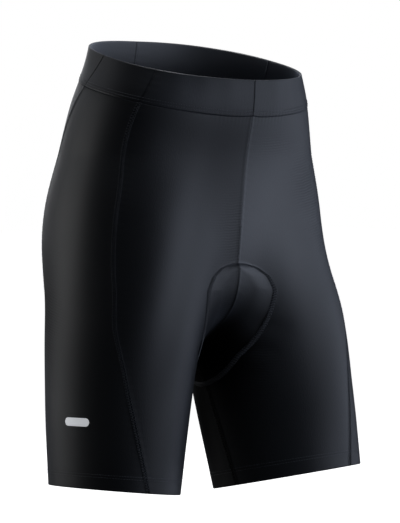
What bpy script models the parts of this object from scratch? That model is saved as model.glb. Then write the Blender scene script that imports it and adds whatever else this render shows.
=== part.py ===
"""Cycling shorts, filled out with no wearer: right leg straight, left leg a step forward.

World frame in metres: +X is the wearer's left, +Y the back, +Z up. The origin is the middle of
the waist opening. The cloth follows a general figure: a trunk, two seat halves, a lap and two
thighs, blended together. Each half of the garment is a stack of sections: the first ones run
from the centre-front seam round the outside to the centre-back seam, the later ones are closed
rings round the leg. A place on the cloth is named by two numbers: its row (0 at the waist, 1 at
the crotch, 2 at the hem) and its share of the way round, from the front or inseam to the back.
"""
from math import atan2, cos, pi, radians, sin

import bmesh
import bpy
import numpy as np

# Sizes of the cut
CLOTH = 0.0016            # thickness of one layer of cloth
TURNED = 0.0028           # thickness where the cloth is turned in and stitched
SEAM_GAP = 0.0003         # space between two pieces at a seam
BAND_HEIGHT = 0.037       # waistband, measured down the cloth
BAND_RAISE = 0.0006       # how far the waistband stands proud of the panels
HEM_HEIGHT = 0.0175       # turned hem
HEM_STEP = 0.0012         # length of the step where the hem's second layer ends
WAIST_TILT = 0.25         # rise of the waist opening from front to back, per metre
OUTER_CROTCH = -0.262     # height at the outside of the leg that is level with the crotch
HEM_REACH = 0.075         # half width of a leg at the hem

# General figure: heights are above the waist's middle
TRUNK = [
    # height, half width, reach to the front, reach to the back
    (0.040, 0.110, 0.084, 0.088),
    (0.000, 0.118, 0.090, 0.094),
    (-0.050, 0.134, 0.089, 0.108),
    (-0.100, 0.142, 0.078, 0.113),
    (-0.150, 0.143, 0.068, 0.110),
    (-0.200, 0.136, 0.057, 0.099),
    (-0.250, 0.122, 0.044, 0.078),
    (-0.300, 0.105, 0.028, 0.050),
]
TRUNK_ROUNDNESS = 2.25    # 2 is an ellipse, more is squarer
TRUNK_END = -0.232        # below this the trunk closes like a bowl
TRUNK_BOWL = 0.036
THIGH = {
    # height, half length, half width, middle outward, middle forward
    "right": [
        (-0.100, 0.068, 0.062, 0.078, -0.008),
        (-0.200, 0.085, 0.078, 0.084, -0.006),
        (-0.270, 0.088, 0.080, 0.093, -0.006),
        (-0.350, 0.085, 0.0755, 0.099, -0.008),
        (-0.460, 0.079, 0.067, 0.104, -0.009),
    ],
    "left": [
        (-0.100, 0.064, 0.060, 0.072, -0.006),
        (-0.200, 0.080, 0.074, 0.077, 0.001),
        (-0.270, 0.0865, 0.0755, 0.0885, 0.011),
        (-0.350, 0.086, 0.0735, 0.0935, 0.023),
        (-0.460, 0.080, 0.0695, 0.1015, 0.039),
    ],
}
THIGH_TURN = radians(35)  # the long way of a thigh points forward and this much outward
THIGH_TOP = -0.16         # above this the thigh closes like a bowl
THIGH_BOWL = 0.10
SEAT_MIDDLE = (0.066, 0.046, -0.190)
SEAT_RADII = (0.070, 0.066, 0.085)
LAP_MIDDLE = (0.006, -0.005, -0.195)
LAP_RADII = (0.080, 0.048, 0.058)
LAP_SQUARENESS = 4        # 2 is an ellipse, more is squarer
BLEND = 0.016             # how softly trunk, seat, lap and thighs run into each other

# Pose of each leg's hem
HEM = {
    # outer height, middle outward, middle forward, tip outward, tip forward
    "right": (-0.436, 0.104, -0.009, radians(7), radians(1)),
    "left": (-0.439, 0.102, 0.037, radians(3), radians(11)),
}

# Seams, as shares of the way round a half, row by row
SEAMS = [
    # row, front side seam, back side seam
    (0.00, 0.331, 0.528),
    (0.12, 0.353, 0.572),
    (0.30, 0.366, 0.625),
    (0.50, 0.364, 0.645),
    (0.75, 0.372, 0.655),
    (1.00, 0.383, 0.660),
    (1.30, 0.356, 0.655),
    (1.60, 0.326, 0.650),
    (2.00, 0.284, 0.640),
]

# Seat pad, along the seam between the legs
PAD = [
    # distance behind the crotch point, half width
    (-0.1258, 0.000),
    (-0.1246, 0.012),
    (-0.1210, 0.026),
    (-0.1130, 0.040),
    (-0.1000, 0.049),
    (-0.0800, 0.047),
    (-0.0400, 0.042),
    (0.0100, 0.046),
    (0.0600, 0.060),
    (0.1000, 0.072),
    (0.1350, 0.075),
    (0.1600, 0.066),
    (0.1780, 0.046),
    (0.1860, 0.024),
    (0.1890, 0.000),
]
PAD_GAP = 0.0008          # space between the pad and the cloth it lies against
PAD_EDGE = 0.0016         # thickness at the pad's stitched edge
PAD_THICK = 0.0075        # thickness in the pad's middle
PAD_SLOPE = 0.018         # width of the slope from edge to middle
PAD_BULGE = 0.0040        # how far the pad pushes the cloth out
PAD_SNAP = 0.0020         # a corner this near the outline is put on it

# How finely the cloth is divided
BODY_ROWS = 17
LEG_ROWS = 9
BAND_ROWS = 2
COLUMNS = {"front": 10, "side": 6, "back": 10}
CROTCH_CROWDING = 1.45    # above 1, the leg's rows crowd towards the crotch
SEAM_CROWDING = 1.3       # above 1, columns crowd towards the middle seam and the inseam
SURVEY_TRUNK = 28
SURVEY_LEG = 16
SURVEY_ROUND = 120
LAST_TRUNK_ROW = 1.001    # rows below this one count as the crotch row or higher

SIDES = {"right": -1, "left": 1}
PANELS = ("front", "side", "back")


# Interpolation
def smooth_column(table, column, at):
    """Value of one column of a table at given places, as a smooth curve through its rows."""
    rows = np.array(sorted(table))
    places = rows[:, 0]
    values = rows[:, column]
    slopes = np.gradient(values, places)
    at = np.clip(at, places[0], places[-1])
    i = np.clip(np.searchsorted(places, at) - 1, 0, len(places) - 2)
    width = places[i + 1] - places[i]
    s = (at - places[i]) / width
    start = (2 * s**3 - 3 * s**2 + 1) * values[i] + (s**3 - 2 * s**2 + s) * width * slopes[i]
    end = (3 * s**2 - 2 * s**3) * values[i + 1] + (s**3 - s**2) * width * slopes[i + 1]
    return start + end


def smooth_step(s):
    s = np.clip(s, 0.0, 1.0)
    return s * s * (3 - 2 * s)


def unit(vector):
    return vector / np.linalg.norm(vector, axis=-1, keepdims=True)


def place_along(line, share):
    """Points at shares of a line's length."""
    steps = np.linalg.norm(np.diff(line, axis=0), axis=1)
    reached = np.concatenate([[0.0], np.cumsum(steps)])
    at = np.asarray(share) * reached[-1]
    return np.stack([np.interp(at, reached, line[:, axis]) for axis in range(3)], axis=-1)


# General figure
def trunk_depth(point):
    x, y, z = point[..., 0], point[..., 1], point[..., 2]
    width = smooth_column(TRUNK, 1, z)
    reach = np.where(y < 0, smooth_column(TRUNK, 2, z), smooth_column(TRUNK, 3, z))
    bowl = np.maximum(0, TRUNK_END - z) / TRUNK_BOWL
    n = TRUNK_ROUNDNESS
    return ((np.abs(x / width) ** n + np.abs(y / reach) ** n + bowl**n) ** (1 / n) - 1) * 0.10


def thigh_depth(point, name):
    x, y, z = point[..., 0], point[..., 1], point[..., 2]
    side = SIDES[name]
    half_length, half_width, out, forward = [
        smooth_column(THIGH[name], column, z) for column in range(1, 5)]
    outward = (x - side * out) * side
    ahead = -(y + forward)
    along = outward * sin(THIGH_TURN) + ahead * cos(THIGH_TURN)
    across = outward * cos(THIGH_TURN) - ahead * sin(THIGH_TURN)
    bowl = np.maximum(0, z - THIGH_TOP) / THIGH_BOWL
    return (np.sqrt((along / half_length) ** 2 + (across / half_width) ** 2 + bowl**2) - 1) * 0.08


def seat_depth(point, side):
    middle = np.array(SEAT_MIDDLE) * (side, 1, 1)
    return (np.linalg.norm((point - middle) / np.array(SEAT_RADII), axis=-1) - 1) * 0.08


def lap_depth(point):
    """The form that carries the cloth across both groins, from one thigh to the other."""
    parts = np.abs((point - np.array(LAP_MIDDLE)) / np.array(LAP_RADII)) ** LAP_SQUARENESS
    return (parts.sum(axis=-1) ** (1 / LAP_SQUARENESS) - 1) * 0.05


def figure_depth(point):
    """Below zero inside the figure, zero on the cloth, above zero outside."""
    depths = [trunk_depth(point), lap_depth(point)]
    for name, side in SIDES.items():
        depths.append(thigh_depth(point, name))
        depths.append(seat_depth(point, side))
    return -BLEND * np.log(sum(np.exp(-depth / BLEND) for depth in depths))


def outward_direction(point, on_middle):
    """Direction straight out of the cloth. On the middle seam it stays in the middle plane."""
    small = 0.0005
    slopes = [figure_depth(point + step) - figure_depth(point - step) for step in np.eye(3) * small]
    direction = np.stack(slopes, axis=-1)
    direction[..., 0] = np.where(on_middle, 0.0, direction[..., 0])
    return unit(direction)


def reach_of_rays(start, directions, longest, side=0):
    """Distance along each ray to the cloth, within one half of the body where a side is given."""
    def outside(distance):
        point = start + directions * distance[..., None]
        depth = figure_depth(point)
        if side:
            depth = np.maximum(depth, -side * point[..., 0])
        return depth > 0

    near = np.zeros(directions.shape[:-1])
    far = np.full(directions.shape[:-1], longest)
    found = np.zeros(directions.shape[:-1], dtype=bool)
    for distance in np.linspace(0, longest, 24)[1:]:
        here = np.full(near.shape, distance)
        first_time = outside(here) & ~found
        far = np.where(first_time, here, far)
        found |= first_time
        near = np.where(found, near, here)
    for _ in range(16):
        middle = (near + far) / 2
        out = outside(middle)
        far = np.where(out, middle, far)
        near = np.where(out, near, middle)
    return (near + far) / 2


def fan(first, last, count, across, ahead):
    """Directions that sweep from one angle to another between two axes."""
    angles = np.linspace(first, last, count)[:, None]
    return np.cos(angles) * across + np.sin(angles) * ahead


# Survey of the cloth
def middle_seam():
    """The front and back halves of the seam between the legs, each from waist to crotch."""
    start = np.array([0.0, 0.01, -0.12])
    rays = fan(radians(-262), radians(80), 1200, np.array([0, 1, 0]), np.array([0, 0, 1]))
    line = start + rays * reach_of_rays(start, rays, 0.25)[:, None]
    line = line[line[:, 2] < WAIST_TILT * line[:, 1]]
    lowest = int(np.argmin(line[:, 2]))
    return line[:lowest + 1], line[lowest:][::-1]


def outer_point(side, height, y):
    start = np.array([side * 0.05, y, height])
    ray = np.array([[side, 0.0, 0.0]])
    return start + ray[0] * reach_of_rays(start, ray, 0.25)[0]


def survey_section(start, first, last, across, ahead, side, ends=None):
    """One section as evenly spaced points round the cloth."""
    rays = fan(first, last, 240, across, ahead)
    line = start + rays * reach_of_rays(start, rays, 0.28, side)[:, None]
    if ends is not None:
        line[0], line[-1] = ends
    return place_along(line, np.linspace(0, 1, SURVEY_ROUND + 1))


def survey_half(name, front, back):
    """Points of one half, a row for each section."""
    side = SIDES[name]
    crotch = front[-1]
    sections = []
    for row in np.linspace(0, 1, SURVEY_TRUNK + 1):
        at_front = place_along(front, row)
        at_back = place_along(back, row)
        outer = outer_point(side, OUTER_CROTCH * row, crotch[1] * row)
        middle = (at_front + at_back) / 2
        closed = row > 0.999
        ahead = np.array([0.0, 1.0, 0.0]) if closed else unit(at_back - at_front)
        across = unit((outer - middle) - ahead * np.dot(outer - middle, ahead))
        start = middle + (outer - middle) * (0.42 + 0.10 * row)
        first, last = -pi, pi
        if not closed:
            first = atan2(np.dot(at_front - start, ahead), np.dot(at_front - start, across))
            last = atan2(np.dot(at_back - start, ahead), np.dot(at_back - start, across))
        ends = (at_front, at_back)
        sections.append(survey_section(start, first, last, across, ahead, side, ends))
    top = start
    outer_height, out, forward, tip_out, tip_forward = HEM[name]
    bottom = np.array([side * out, -forward, outer_height - sin(tip_out) * HEM_REACH])
    tip_at_top = atan2(outer[2] - crotch[2], abs(outer[0] - crotch[0]))
    for row in np.linspace(0, 1, SURVEY_LEG + 1)[1:]:
        tip = tip_at_top + (tip_out - tip_at_top) * (1 - (1 - row) ** 2)
        lean = tip_forward * row
        across = np.array([side * cos(tip), 0.0, sin(tip)])
        ahead = np.array([0.0, cos(lean), -sin(lean)])
        start = top + (bottom - top) * row
        sections.append(survey_section(start, -pi, pi, across, ahead, side))
    return np.array(sections)


class Half:
    """One half of the garment, asked for places by row and share of the way round."""

    def __init__(self, name, front, back):
        self.name = name
        self.side = SIDES[name]
        self.crotch = front[-1]
        self.points = survey_half(name, front, back)
        rows = np.linalg.norm(np.diff(self.points, axis=0), axis=2)
        self.trunk_length = rows[:SURVEY_TRUNK].sum(axis=0)
        self.leg_length = rows[SURVEY_TRUNK:].sum(axis=0)
        self.shares = np.linspace(0, 1, SURVEY_ROUND + 1)

    def place(self, row, share):
        row, share = np.broadcast_arrays(row, share)
        i = np.where(row < 1, row * SURVEY_TRUNK, SURVEY_TRUNK + (row - 1) * SURVEY_LEG)
        j = share * SURVEY_ROUND
        i0 = np.clip(i.astype(int), 0, SURVEY_TRUNK + SURVEY_LEG - 1)
        j0 = np.clip(j.astype(int), 0, SURVEY_ROUND - 1)
        s = (i - i0)[..., None]
        t = (j - j0)[..., None]
        upper = self.points[i0, j0] * (1 - t) + self.points[i0, j0 + 1] * t
        lower = self.points[i0 + 1, j0] * (1 - t) + self.points[i0 + 1, j0 + 1] * t
        return upper * (1 - s) + lower * s

    def row_below_waist(self, distance, share):
        return distance / np.interp(share, self.shares, self.trunk_length)

    def row_above_hem(self, distance, share):
        return 2 - distance / np.interp(share, self.shares, self.leg_length)


def seam_share(seam, row):
    """Share of the way round at which a panel's edge lies: 0 front, 1 and 2 side seams, 3 back."""
    if seam == 0:
        return np.zeros_like(row)
    if seam == 3:
        return np.ones_like(row)
    return smooth_column(SEAMS, seam, row)


# Grids of one panel
def panel_shares(panel, row):
    """Shares of the way round for each column of a panel, at each of its rows."""
    first = PANELS.index(panel)
    step = np.linspace(0, 1, COLUMNS[panel] + 1)
    if panel == "front":
        step = step ** SEAM_CROWDING
    if panel == "back":
        step = 1 - (1 - step) ** SEAM_CROWDING
    left = seam_share(first, row)[:, None]
    right = seam_share(first + 1, row)[:, None]
    return left + (right - left) * step


def body_rows(half, panel):
    """Rows and shares of a panel from the waistband to the hem, as two grids."""
    steps = []
    for k in range(BODY_ROWS + 1):
        steps.append(("body", k / BODY_ROWS))
    for k in range(1, LEG_ROWS + 1):
        steps.append(("leg", (k / LEG_ROWS) ** CROTCH_CROWDING))
    steps.append(("hem", HEM_STEP))
    steps.append(("hem", HEM_HEIGHT))
    rows, shares = [], []
    for stretch, amount in steps:
        guess = amount if stretch == "body" else 1 + amount if stretch == "leg" else 2.0
        share = panel_shares(panel, np.array([guess]))[0]
        top = half.row_below_waist(BAND_HEIGHT + SEAM_GAP / 2, share)
        hem = half.row_above_hem(HEM_HEIGHT, share)
        if stretch == "body":
            row = top + (1 - top) * amount
        elif stretch == "leg":
            row = 1 + (hem - 1) * amount
        else:
            row = half.row_above_hem(HEM_HEIGHT - amount, share)
        rows.append(row)
        shares.append(np.diag(panel_shares(panel, row)))
    return np.array(rows), np.array(shares)


def band_rows(half, panel):
    """Rows and shares of a waistband piece, rim first."""
    rows, shares = [], []
    for k in range(BAND_ROWS + 1):
        drop = (BAND_HEIGHT - SEAM_GAP / 2) * k / BAND_ROWS
        share = panel_shares(panel, np.array([0.12 * k / BAND_ROWS]))[0]
        row = half.row_below_waist(drop, share)
        rows.append(row)
        shares.append(np.diag(panel_shares(panel, row)))
    return np.array(rows), np.array(shares)


# Seat pad outline
class PadOutline:
    """Tells how far inside the pad's outline a point of the cloth lies."""

    def __init__(self, front, back):
        self.line = np.concatenate([front, back[::-1][1:]])
        steps = np.linalg.norm(np.diff(self.line, axis=0), axis=1)
        reached = np.concatenate([[0.0], np.cumsum(steps)])
        self.distance = reached - reached[len(front) - 1]

    def inside(self, points):
        flat = points.reshape(-1, 3)
        gaps = np.linalg.norm(flat[:, None, :] - self.line[None, ::4, :], axis=2)
        nearest = gaps.argmin(axis=1)
        behind = self.distance[::4][nearest]
        across = gaps[np.arange(len(flat)), nearest]
        table = np.array(PAD)
        width = np.interp(behind, table[:, 0], table[:, 1])
        end = np.maximum(table[0, 0] - behind, behind - table[-1, 0])
        inside = width - across
        inside = np.where(end > 0, -np.hypot(end, across), inside)
        return inside.reshape(points.shape[:-1])


# Solids
def cloth_grid(half, outline, rows, shares):
    """Base points, outward directions and depth inside the pad outline of a grid."""
    points = half.place(rows, shares)
    on_middle = (rows < LAST_TRUNK_ROW) & ((shares <= 0.0) | (shares >= 1.0))
    directions = outward_direction(points, on_middle)
    inside = outline.inside(points)
    points = points + directions * (PAD_BULGE * smooth_step(inside / PAD_SLOPE))[..., None]
    return points, directions, inside


def draw_back_from_seams(half, points, directions, rows, shares):
    """Moves a panel's side edges half a seam gap away from its neighbours."""
    moved = points.copy()
    for column, inner in ((0, 1), (-1, -2)):
        row, share = rows[:, column], shares[:, column]
        on_middle = (row < LAST_TRUNK_ROW) & ((share <= 0) | (share >= 1))
        crotch = on_middle & (row > 2 - LAST_TRUNK_ROW)
        into = points[:, inner] - points[:, column]
        away = unit(np.cross(np.gradient(points[:, column], axis=0), directions[:, column]))
        away *= np.sign(np.sum(away * into, axis=1, keepdims=True))
        away[on_middle] = (half.side, 0, 0)
        away[crotch, 1] = np.sign(into[crotch, 1])
        moved[:, column] += away * SEAM_GAP / 2
    return moved


def triangles_between(corner, rows, columns):
    """Two triangles for each cell of a grid, given a function that numbers its corners."""
    faces = []
    for i in range(rows - 1):
        for j in range(columns - 1):
            a, b = corner(i, j), corner(i, j + 1)
            c, d = corner(i + 1, j + 1), corner(i + 1, j)
            faces.append((a, b, c))
            faces.append((a, c, d))
    return faces


def wall_between(outer, inner):
    """A closed wall from an outer and an inner grid of points."""
    rows, columns = outer.shape[:2]
    count = rows * columns
    points = np.concatenate([outer.reshape(-1, 3), inner.reshape(-1, 3)])
    faces = triangles_between(lambda i, j: i * columns + j, rows, columns)
    faces += [tuple(count + v for v in reversed(face)) for face in faces]
    rim = [(0, j) for j in range(columns)]
    rim += [(i, columns - 1) for i in range(1, rows)]
    rim += [(rows - 1, j) for j in range(columns - 2, -1, -1)]
    rim += [(i, 0) for i in range(rows - 2, 0, -1)]
    loop = [i * columns + j for i, j in rim]
    for a, b in zip(loop, loop[1:] + loop[:1]):
        if a < b:
            faces += [(b, a, count + b), (a, count + a, count + b)]
        else:
            faces += [(b, a, count + a), (b, count + a, count + b)]
    return points, faces


def add_solid(name, points, faces, material):
    mesh = bpy.data.meshes.new(name)
    mesh.from_pydata([tuple(point) for point in points], [], faces)
    body = bmesh.new()
    body.from_mesh(mesh)
    bmesh.ops.recalc_face_normals(body, faces=body.faces)
    body.to_mesh(mesh)
    body.free()
    mesh.shade_smooth()
    mesh.set_sharp_from_angle(angle=radians(50))
    mesh.materials.append(material)
    solid = bpy.data.objects.new(name, mesh)
    bpy.context.collection.objects.link(solid)
    return solid


def add_panel(half, outline, panel, material):
    rows, shares = body_rows(half, panel)
    points, directions, _ = cloth_grid(half, outline, rows, shares)
    thickness = np.full(rows.shape, CLOTH)
    thickness[-2:] = TURNED
    inner = points - directions * thickness[..., None]
    outer = draw_back_from_seams(half, points, directions, rows, shares)
    inner = draw_back_from_seams(half, inner, directions, rows, shares)
    add_solid(f"{panel}_{half.name}", *wall_between(outer, inner), material)


def add_band(half, outline, panel, material):
    rows, shares = band_rows(half, panel)
    points, directions, _ = cloth_grid(half, outline, rows, shares)
    outer = points + directions * BAND_RAISE
    inner = outer - directions * TURNED
    outer = draw_back_from_seams(half, outer, directions, rows, shares)
    inner = draw_back_from_seams(half, inner, directions, rows, shares)
    add_solid(f"waistband_{panel}_{half.name}", *wall_between(outer, inner), material)


# Seat pad, cut from the panels' own faces
class PadCloth:
    """The inner faces of all panels joined, each corner with its depth inside the outline."""

    def __init__(self):
        self.numbers = {}
        self.points = []
        self.directions = []
        self.inside = []
        self.faces = []

    def corner(self, point, direction, inside):
        key = tuple(np.round(point, 5))
        if key not in self.numbers:
            self.numbers[key] = len(self.points)
            self.points.append(point)
            self.directions.append(direction)
            self.inside.append(0.0 if abs(inside) < PAD_SNAP else inside)
        return self.numbers[key]

    def add_grid(self, side, points, directions, inside):
        rows, columns = inside.shape
        number = [[self.corner(points[i, j], directions[i, j], inside[i, j])
                   for j in range(columns)] for i in range(rows)]
        for face in triangles_between(lambda i, j: number[i][j], rows, columns):
            if max(self.inside[v] for v in face) > 0:
                self.faces.append(face if side > 0 else face[::-1])

    def crossing(self, a, b):
        """Corner where the outline crosses the edge between two corners."""
        a, b = min(a, b), max(a, b)
        share = self.inside[a] / (self.inside[a] - self.inside[b])
        point = self.points[a] * (1 - share) + self.points[b] * share
        direction = unit(self.directions[a] * (1 - share) + self.directions[b] * share)
        return self.corner(point, direction, 0.0)

    def cut(self):
        """Faces within the outline, those that cross it cut along it."""
        kept = []
        for face in list(self.faces):
            ring = []
            for a, b in zip(face, face[1:] + face[:1]):
                if self.inside[a] >= 0:
                    ring.append(a)
                if self.inside[a] * self.inside[b] < 0:
                    ring.append(self.crossing(a, b))
            for k in range(1, len(ring) - 1):
                piece = (ring[0], ring[k], ring[k + 1])
                if len(set(piece)) == 3:
                    kept.append(piece)
        return kept


def open_edges(faces):
    """Directed edges that only one face uses."""
    edges = set()
    for face in faces:
        for a, b in zip(face, face[1:] + face[:1]):
            if (b, a) in edges:
                edges.remove((b, a))
            else:
                edges.add((a, b))
    return edges


def add_pad(halves, outline, material):
    cloth = PadCloth()
    for half in halves:
        for panel in ("front", "back"):
            rows, shares = body_rows(half, panel)
            rows, shares = rows[:-3], shares[:-3]
            cloth.add_grid(half.side, *cloth_grid(half, outline, rows, shares))
    faces = cloth.cut()
    used = sorted({v for face in faces for v in face})
    renumber = {v: k for k, v in enumerate(used)}
    faces = [tuple(renumber[v] for v in face) for face in faces]
    base = np.array([cloth.points[v] for v in used])
    inward = -np.array([cloth.directions[v] for v in used])
    inside = np.array([cloth.inside[v] for v in used])
    depth = PAD_EDGE + (PAD_THICK - PAD_EDGE) * smooth_step(inside / PAD_SLOPE)
    near = base + inward * (CLOTH + PAD_GAP)
    far = near + inward * depth[:, None]
    count = len(used)
    points = np.concatenate([near, far])
    walls = []
    for a, b in sorted(open_edges(faces)):
        walls.append((b, a, count + a))
        walls.append((b, count + a, count + b))
    inner = [tuple(count + v for v in reversed(face)) for face in faces]
    add_solid("seat_pad", points, faces + inner + walls, material)


# Materials
def linear(level):
    level = level / 255
    return level / 12.92 if level <= 0.04045 else ((level + 0.055) / 1.055) ** 2.4


def add_material(name, colour, roughness):
    material = bpy.data.materials.new(name)
    material.use_nodes = True
    surface = material.node_tree.nodes["Principled BSDF"]
    red, green, blue = (linear(int(colour[k:k + 2], 16)) for k in (1, 3, 5))
    surface.inputs["Base Color"].default_value = (red, green, blue, 1)
    surface.inputs["Roughness"].default_value = roughness
    surface.inputs["Metallic"].default_value = 0.0
    return material


def main():
    for item in list(bpy.data.objects):
        bpy.data.objects.remove(item)
    front, back = middle_seam()
    outline = PadOutline(front, back)
    halves = [Half(name, front, back) for name in SIDES]
    for half in halves:
        for panel in PANELS:
            name = f"{panel}_{half.name}"
            add_panel(half, outline, panel, add_material(f"{name} cloth", "#1b1d20", 0.5))
            add_band(half, outline, panel, add_material(f"{name} band", "#202226", 0.5))
    add_pad(halves, outline, add_material("pad fleece", "#2b2d31", 0.9))


main()
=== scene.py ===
# %% [markdown]
# # Cycling shorts, filled out with no wearer
# This lesson dresses a imported CAD model of a pair of stretch shorts. The imported model is the fixed
# frame: it holds the garment's real size, its cut and its pose. Every piece made here stands on
# that frame, so the first step only loads it and lists its parts.

# %% The frame
from math import atan2, cos, pi, radians, sin

import bpy
import numpy as np
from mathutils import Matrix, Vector


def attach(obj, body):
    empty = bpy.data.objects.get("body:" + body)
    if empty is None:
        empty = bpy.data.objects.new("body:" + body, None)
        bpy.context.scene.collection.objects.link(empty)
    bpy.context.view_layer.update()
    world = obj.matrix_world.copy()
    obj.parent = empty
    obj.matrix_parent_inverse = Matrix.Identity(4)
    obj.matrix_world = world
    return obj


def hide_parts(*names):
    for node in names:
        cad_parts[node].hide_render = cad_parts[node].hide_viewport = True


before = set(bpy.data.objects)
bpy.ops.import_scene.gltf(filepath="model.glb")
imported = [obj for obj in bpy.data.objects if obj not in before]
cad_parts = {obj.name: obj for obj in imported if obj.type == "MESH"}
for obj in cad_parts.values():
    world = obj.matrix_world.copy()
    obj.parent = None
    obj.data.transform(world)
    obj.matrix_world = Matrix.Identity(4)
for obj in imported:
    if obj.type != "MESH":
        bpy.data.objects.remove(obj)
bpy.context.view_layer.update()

SIDES = {"right": -1, "left": 1}
PANELS = ("front", "side", "back")
print("CAD nodes:", sorted(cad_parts))

# %% [markdown]
# ## The figure inside the cloth
# Stretch cloth takes the shape of what fills it. Here that is a general figure: a trunk, two seat
# halves, a lap and two thighs, the large ones stacks of ovals from short tables, all blended. A
# number field does this well: it is below zero inside, above zero outside, and the cloth lies
# where it is zero. The tables are the ones that the CAD's solids were worked out from, in metres,
# with +X the wearer's left, +Y the back, +Z up and the origin in the middle of the waist opening.

# %% Sizes of the figure
WAIST_TILT = 0.25         # rise of the waist opening from front to back, per metre
OUTER_CROTCH = -0.262     # height at the outside of the leg that is level with the crotch
HEM_REACH = 0.075         # half width of a leg at the hem
TRUNK = [
    # height, half width, reach to the front, reach to the back
    (0.040, 0.110, 0.084, 0.088),
    (0.000, 0.118, 0.090, 0.094),
    (-0.050, 0.134, 0.089, 0.108),
    (-0.100, 0.142, 0.078, 0.113),
    (-0.150, 0.143, 0.068, 0.110),
    (-0.200, 0.136, 0.057, 0.099),
    (-0.250, 0.122, 0.044, 0.078),
    (-0.300, 0.105, 0.028, 0.050),
]
TRUNK_ROUNDNESS = 2.25    # 2 is an ellipse, more is squarer
TRUNK_END = -0.232        # below this the trunk closes like a bowl
TRUNK_BOWL = 0.036
THIGH = {
    # height, half length, half width, middle outward, middle forward
    "right": [
        (-0.100, 0.068, 0.062, 0.078, -0.008),
        (-0.200, 0.085, 0.078, 0.084, -0.006),
        (-0.270, 0.088, 0.080, 0.093, -0.006),
        (-0.350, 0.085, 0.0755, 0.099, -0.008),
        (-0.460, 0.079, 0.067, 0.104, -0.009),
    ],
    "left": [
        (-0.100, 0.064, 0.060, 0.072, -0.006),
        (-0.200, 0.080, 0.074, 0.077, 0.001),
        (-0.270, 0.0865, 0.0755, 0.0885, 0.011),
        (-0.350, 0.086, 0.0735, 0.0935, 0.023),
        (-0.460, 0.080, 0.0695, 0.1015, 0.039),
    ],
}
THIGH_TURN = radians(35)  # the long way of a thigh points forward and this much outward
THIGH_TOP = -0.16         # above this the thigh closes like a bowl
THIGH_BOWL = 0.10
SEAT_MIDDLE = (0.066, 0.046, -0.190)
SEAT_RADII = (0.070, 0.066, 0.085)
LAP_MIDDLE = (0.006, -0.005, -0.195)
LAP_RADII = (0.080, 0.048, 0.058)
LAP_SQUARENESS = 4        # 2 is an ellipse, more is squarer
BLEND = 0.016             # how softly trunk, seat, lap and thighs run into each other
HEM = {
    # outer height, middle outward, middle forward, tip outward, tip forward
    "right": (-0.436, 0.104, -0.009, radians(7), radians(1)),
    "left": (-0.439, 0.102, 0.037, radians(3), radians(11)),
}


# %% The figure's field
def smooth_column(table, column, at):
    """Value of one column of a table at given places, as a smooth curve through its rows."""
    rows = np.array(sorted(table))
    places = rows[:, 0]
    values = rows[:, column]
    slopes = np.gradient(values, places)
    at = np.clip(at, places[0], places[-1])
    i = np.clip(np.searchsorted(places, at) - 1, 0, len(places) - 2)
    width = places[i + 1] - places[i]
    s = (at - places[i]) / width
    start = (2 * s**3 - 3 * s**2 + 1) * values[i] + (s**3 - 2 * s**2 + s) * width * slopes[i]
    end = (3 * s**2 - 2 * s**3) * values[i + 1] + (s**3 - s**2) * width * slopes[i + 1]
    return start + end


def trunk_depth(point):
    x, y, z = point[..., 0], point[..., 1], point[..., 2]
    width = smooth_column(TRUNK, 1, z)
    reach = np.where(y < 0, smooth_column(TRUNK, 2, z), smooth_column(TRUNK, 3, z))
    bowl = np.maximum(0, TRUNK_END - z) / TRUNK_BOWL
    n = TRUNK_ROUNDNESS
    return ((np.abs(x / width) ** n + np.abs(y / reach) ** n + bowl**n) ** (1 / n) - 1) * 0.10


def thigh_depth(point, name):
    x, y, z = point[..., 0], point[..., 1], point[..., 2]
    side = SIDES[name]
    half_length, half_width, out, forward = [
        smooth_column(THIGH[name], column, z) for column in range(1, 5)]
    outward = (x - side * out) * side
    ahead = -(y + forward)
    along = outward * sin(THIGH_TURN) + ahead * cos(THIGH_TURN)
    across = outward * cos(THIGH_TURN) - ahead * sin(THIGH_TURN)
    bowl = np.maximum(0, z - THIGH_TOP) / THIGH_BOWL
    return (np.sqrt((along / half_length) ** 2 + (across / half_width) ** 2 + bowl**2) - 1) * 0.08


def seat_depth(point, side):
    middle = np.array(SEAT_MIDDLE) * (side, 1, 1)
    return (np.linalg.norm((point - middle) / np.array(SEAT_RADII), axis=-1) - 1) * 0.08


def lap_depth(point):
    """The form that carries the cloth across both groins, from one thigh to the other."""
    parts = np.abs((point - np.array(LAP_MIDDLE)) / np.array(LAP_RADII)) ** LAP_SQUARENESS
    return (parts.sum(axis=-1) ** (1 / LAP_SQUARENESS) - 1) * 0.05


def figure_depth(point):
    """Below zero inside the figure, zero on the cloth, above zero outside."""
    depths = [trunk_depth(point), lap_depth(point)]
    for name, side in SIDES.items():
        depths.append(thigh_depth(point, name))
        depths.append(seat_depth(point, side))
    return -BLEND * np.log(sum(np.exp(-depth / BLEND) for depth in depths))


# %% [markdown]
# ## Settling points on the cloth
# A point near the cloth is put exactly on it by walking down the field's slope, as Newton's method
# does. This keeps satin cloth free of facets, which its sheen would show at once. On the seam in
# the middle of the body the walk stays in the middle plane, so that both halves meet there.

# %% Slope and settling
def unit(vector):
    return vector / np.linalg.norm(vector, axis=-1, keepdims=True)


def smooth_step(s):
    s = np.clip(s, 0.0, 1.0)
    return s * s * (3 - 2 * s)


def between(value, low, high):
    """0 below the first level, 1 above the second, and a soft step between them."""
    return smooth_step((value - low) / (high - low))


def slope(point, on_middle):
    small = 0.0005
    parts = [(figure_depth(point + step) - figure_depth(point - step)) / (2 * small)
             for step in np.eye(3) * small]
    steepest = np.stack(parts, axis=-1)
    steepest[..., 0] = np.where(on_middle, 0.0, steepest[..., 0])
    return steepest


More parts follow.
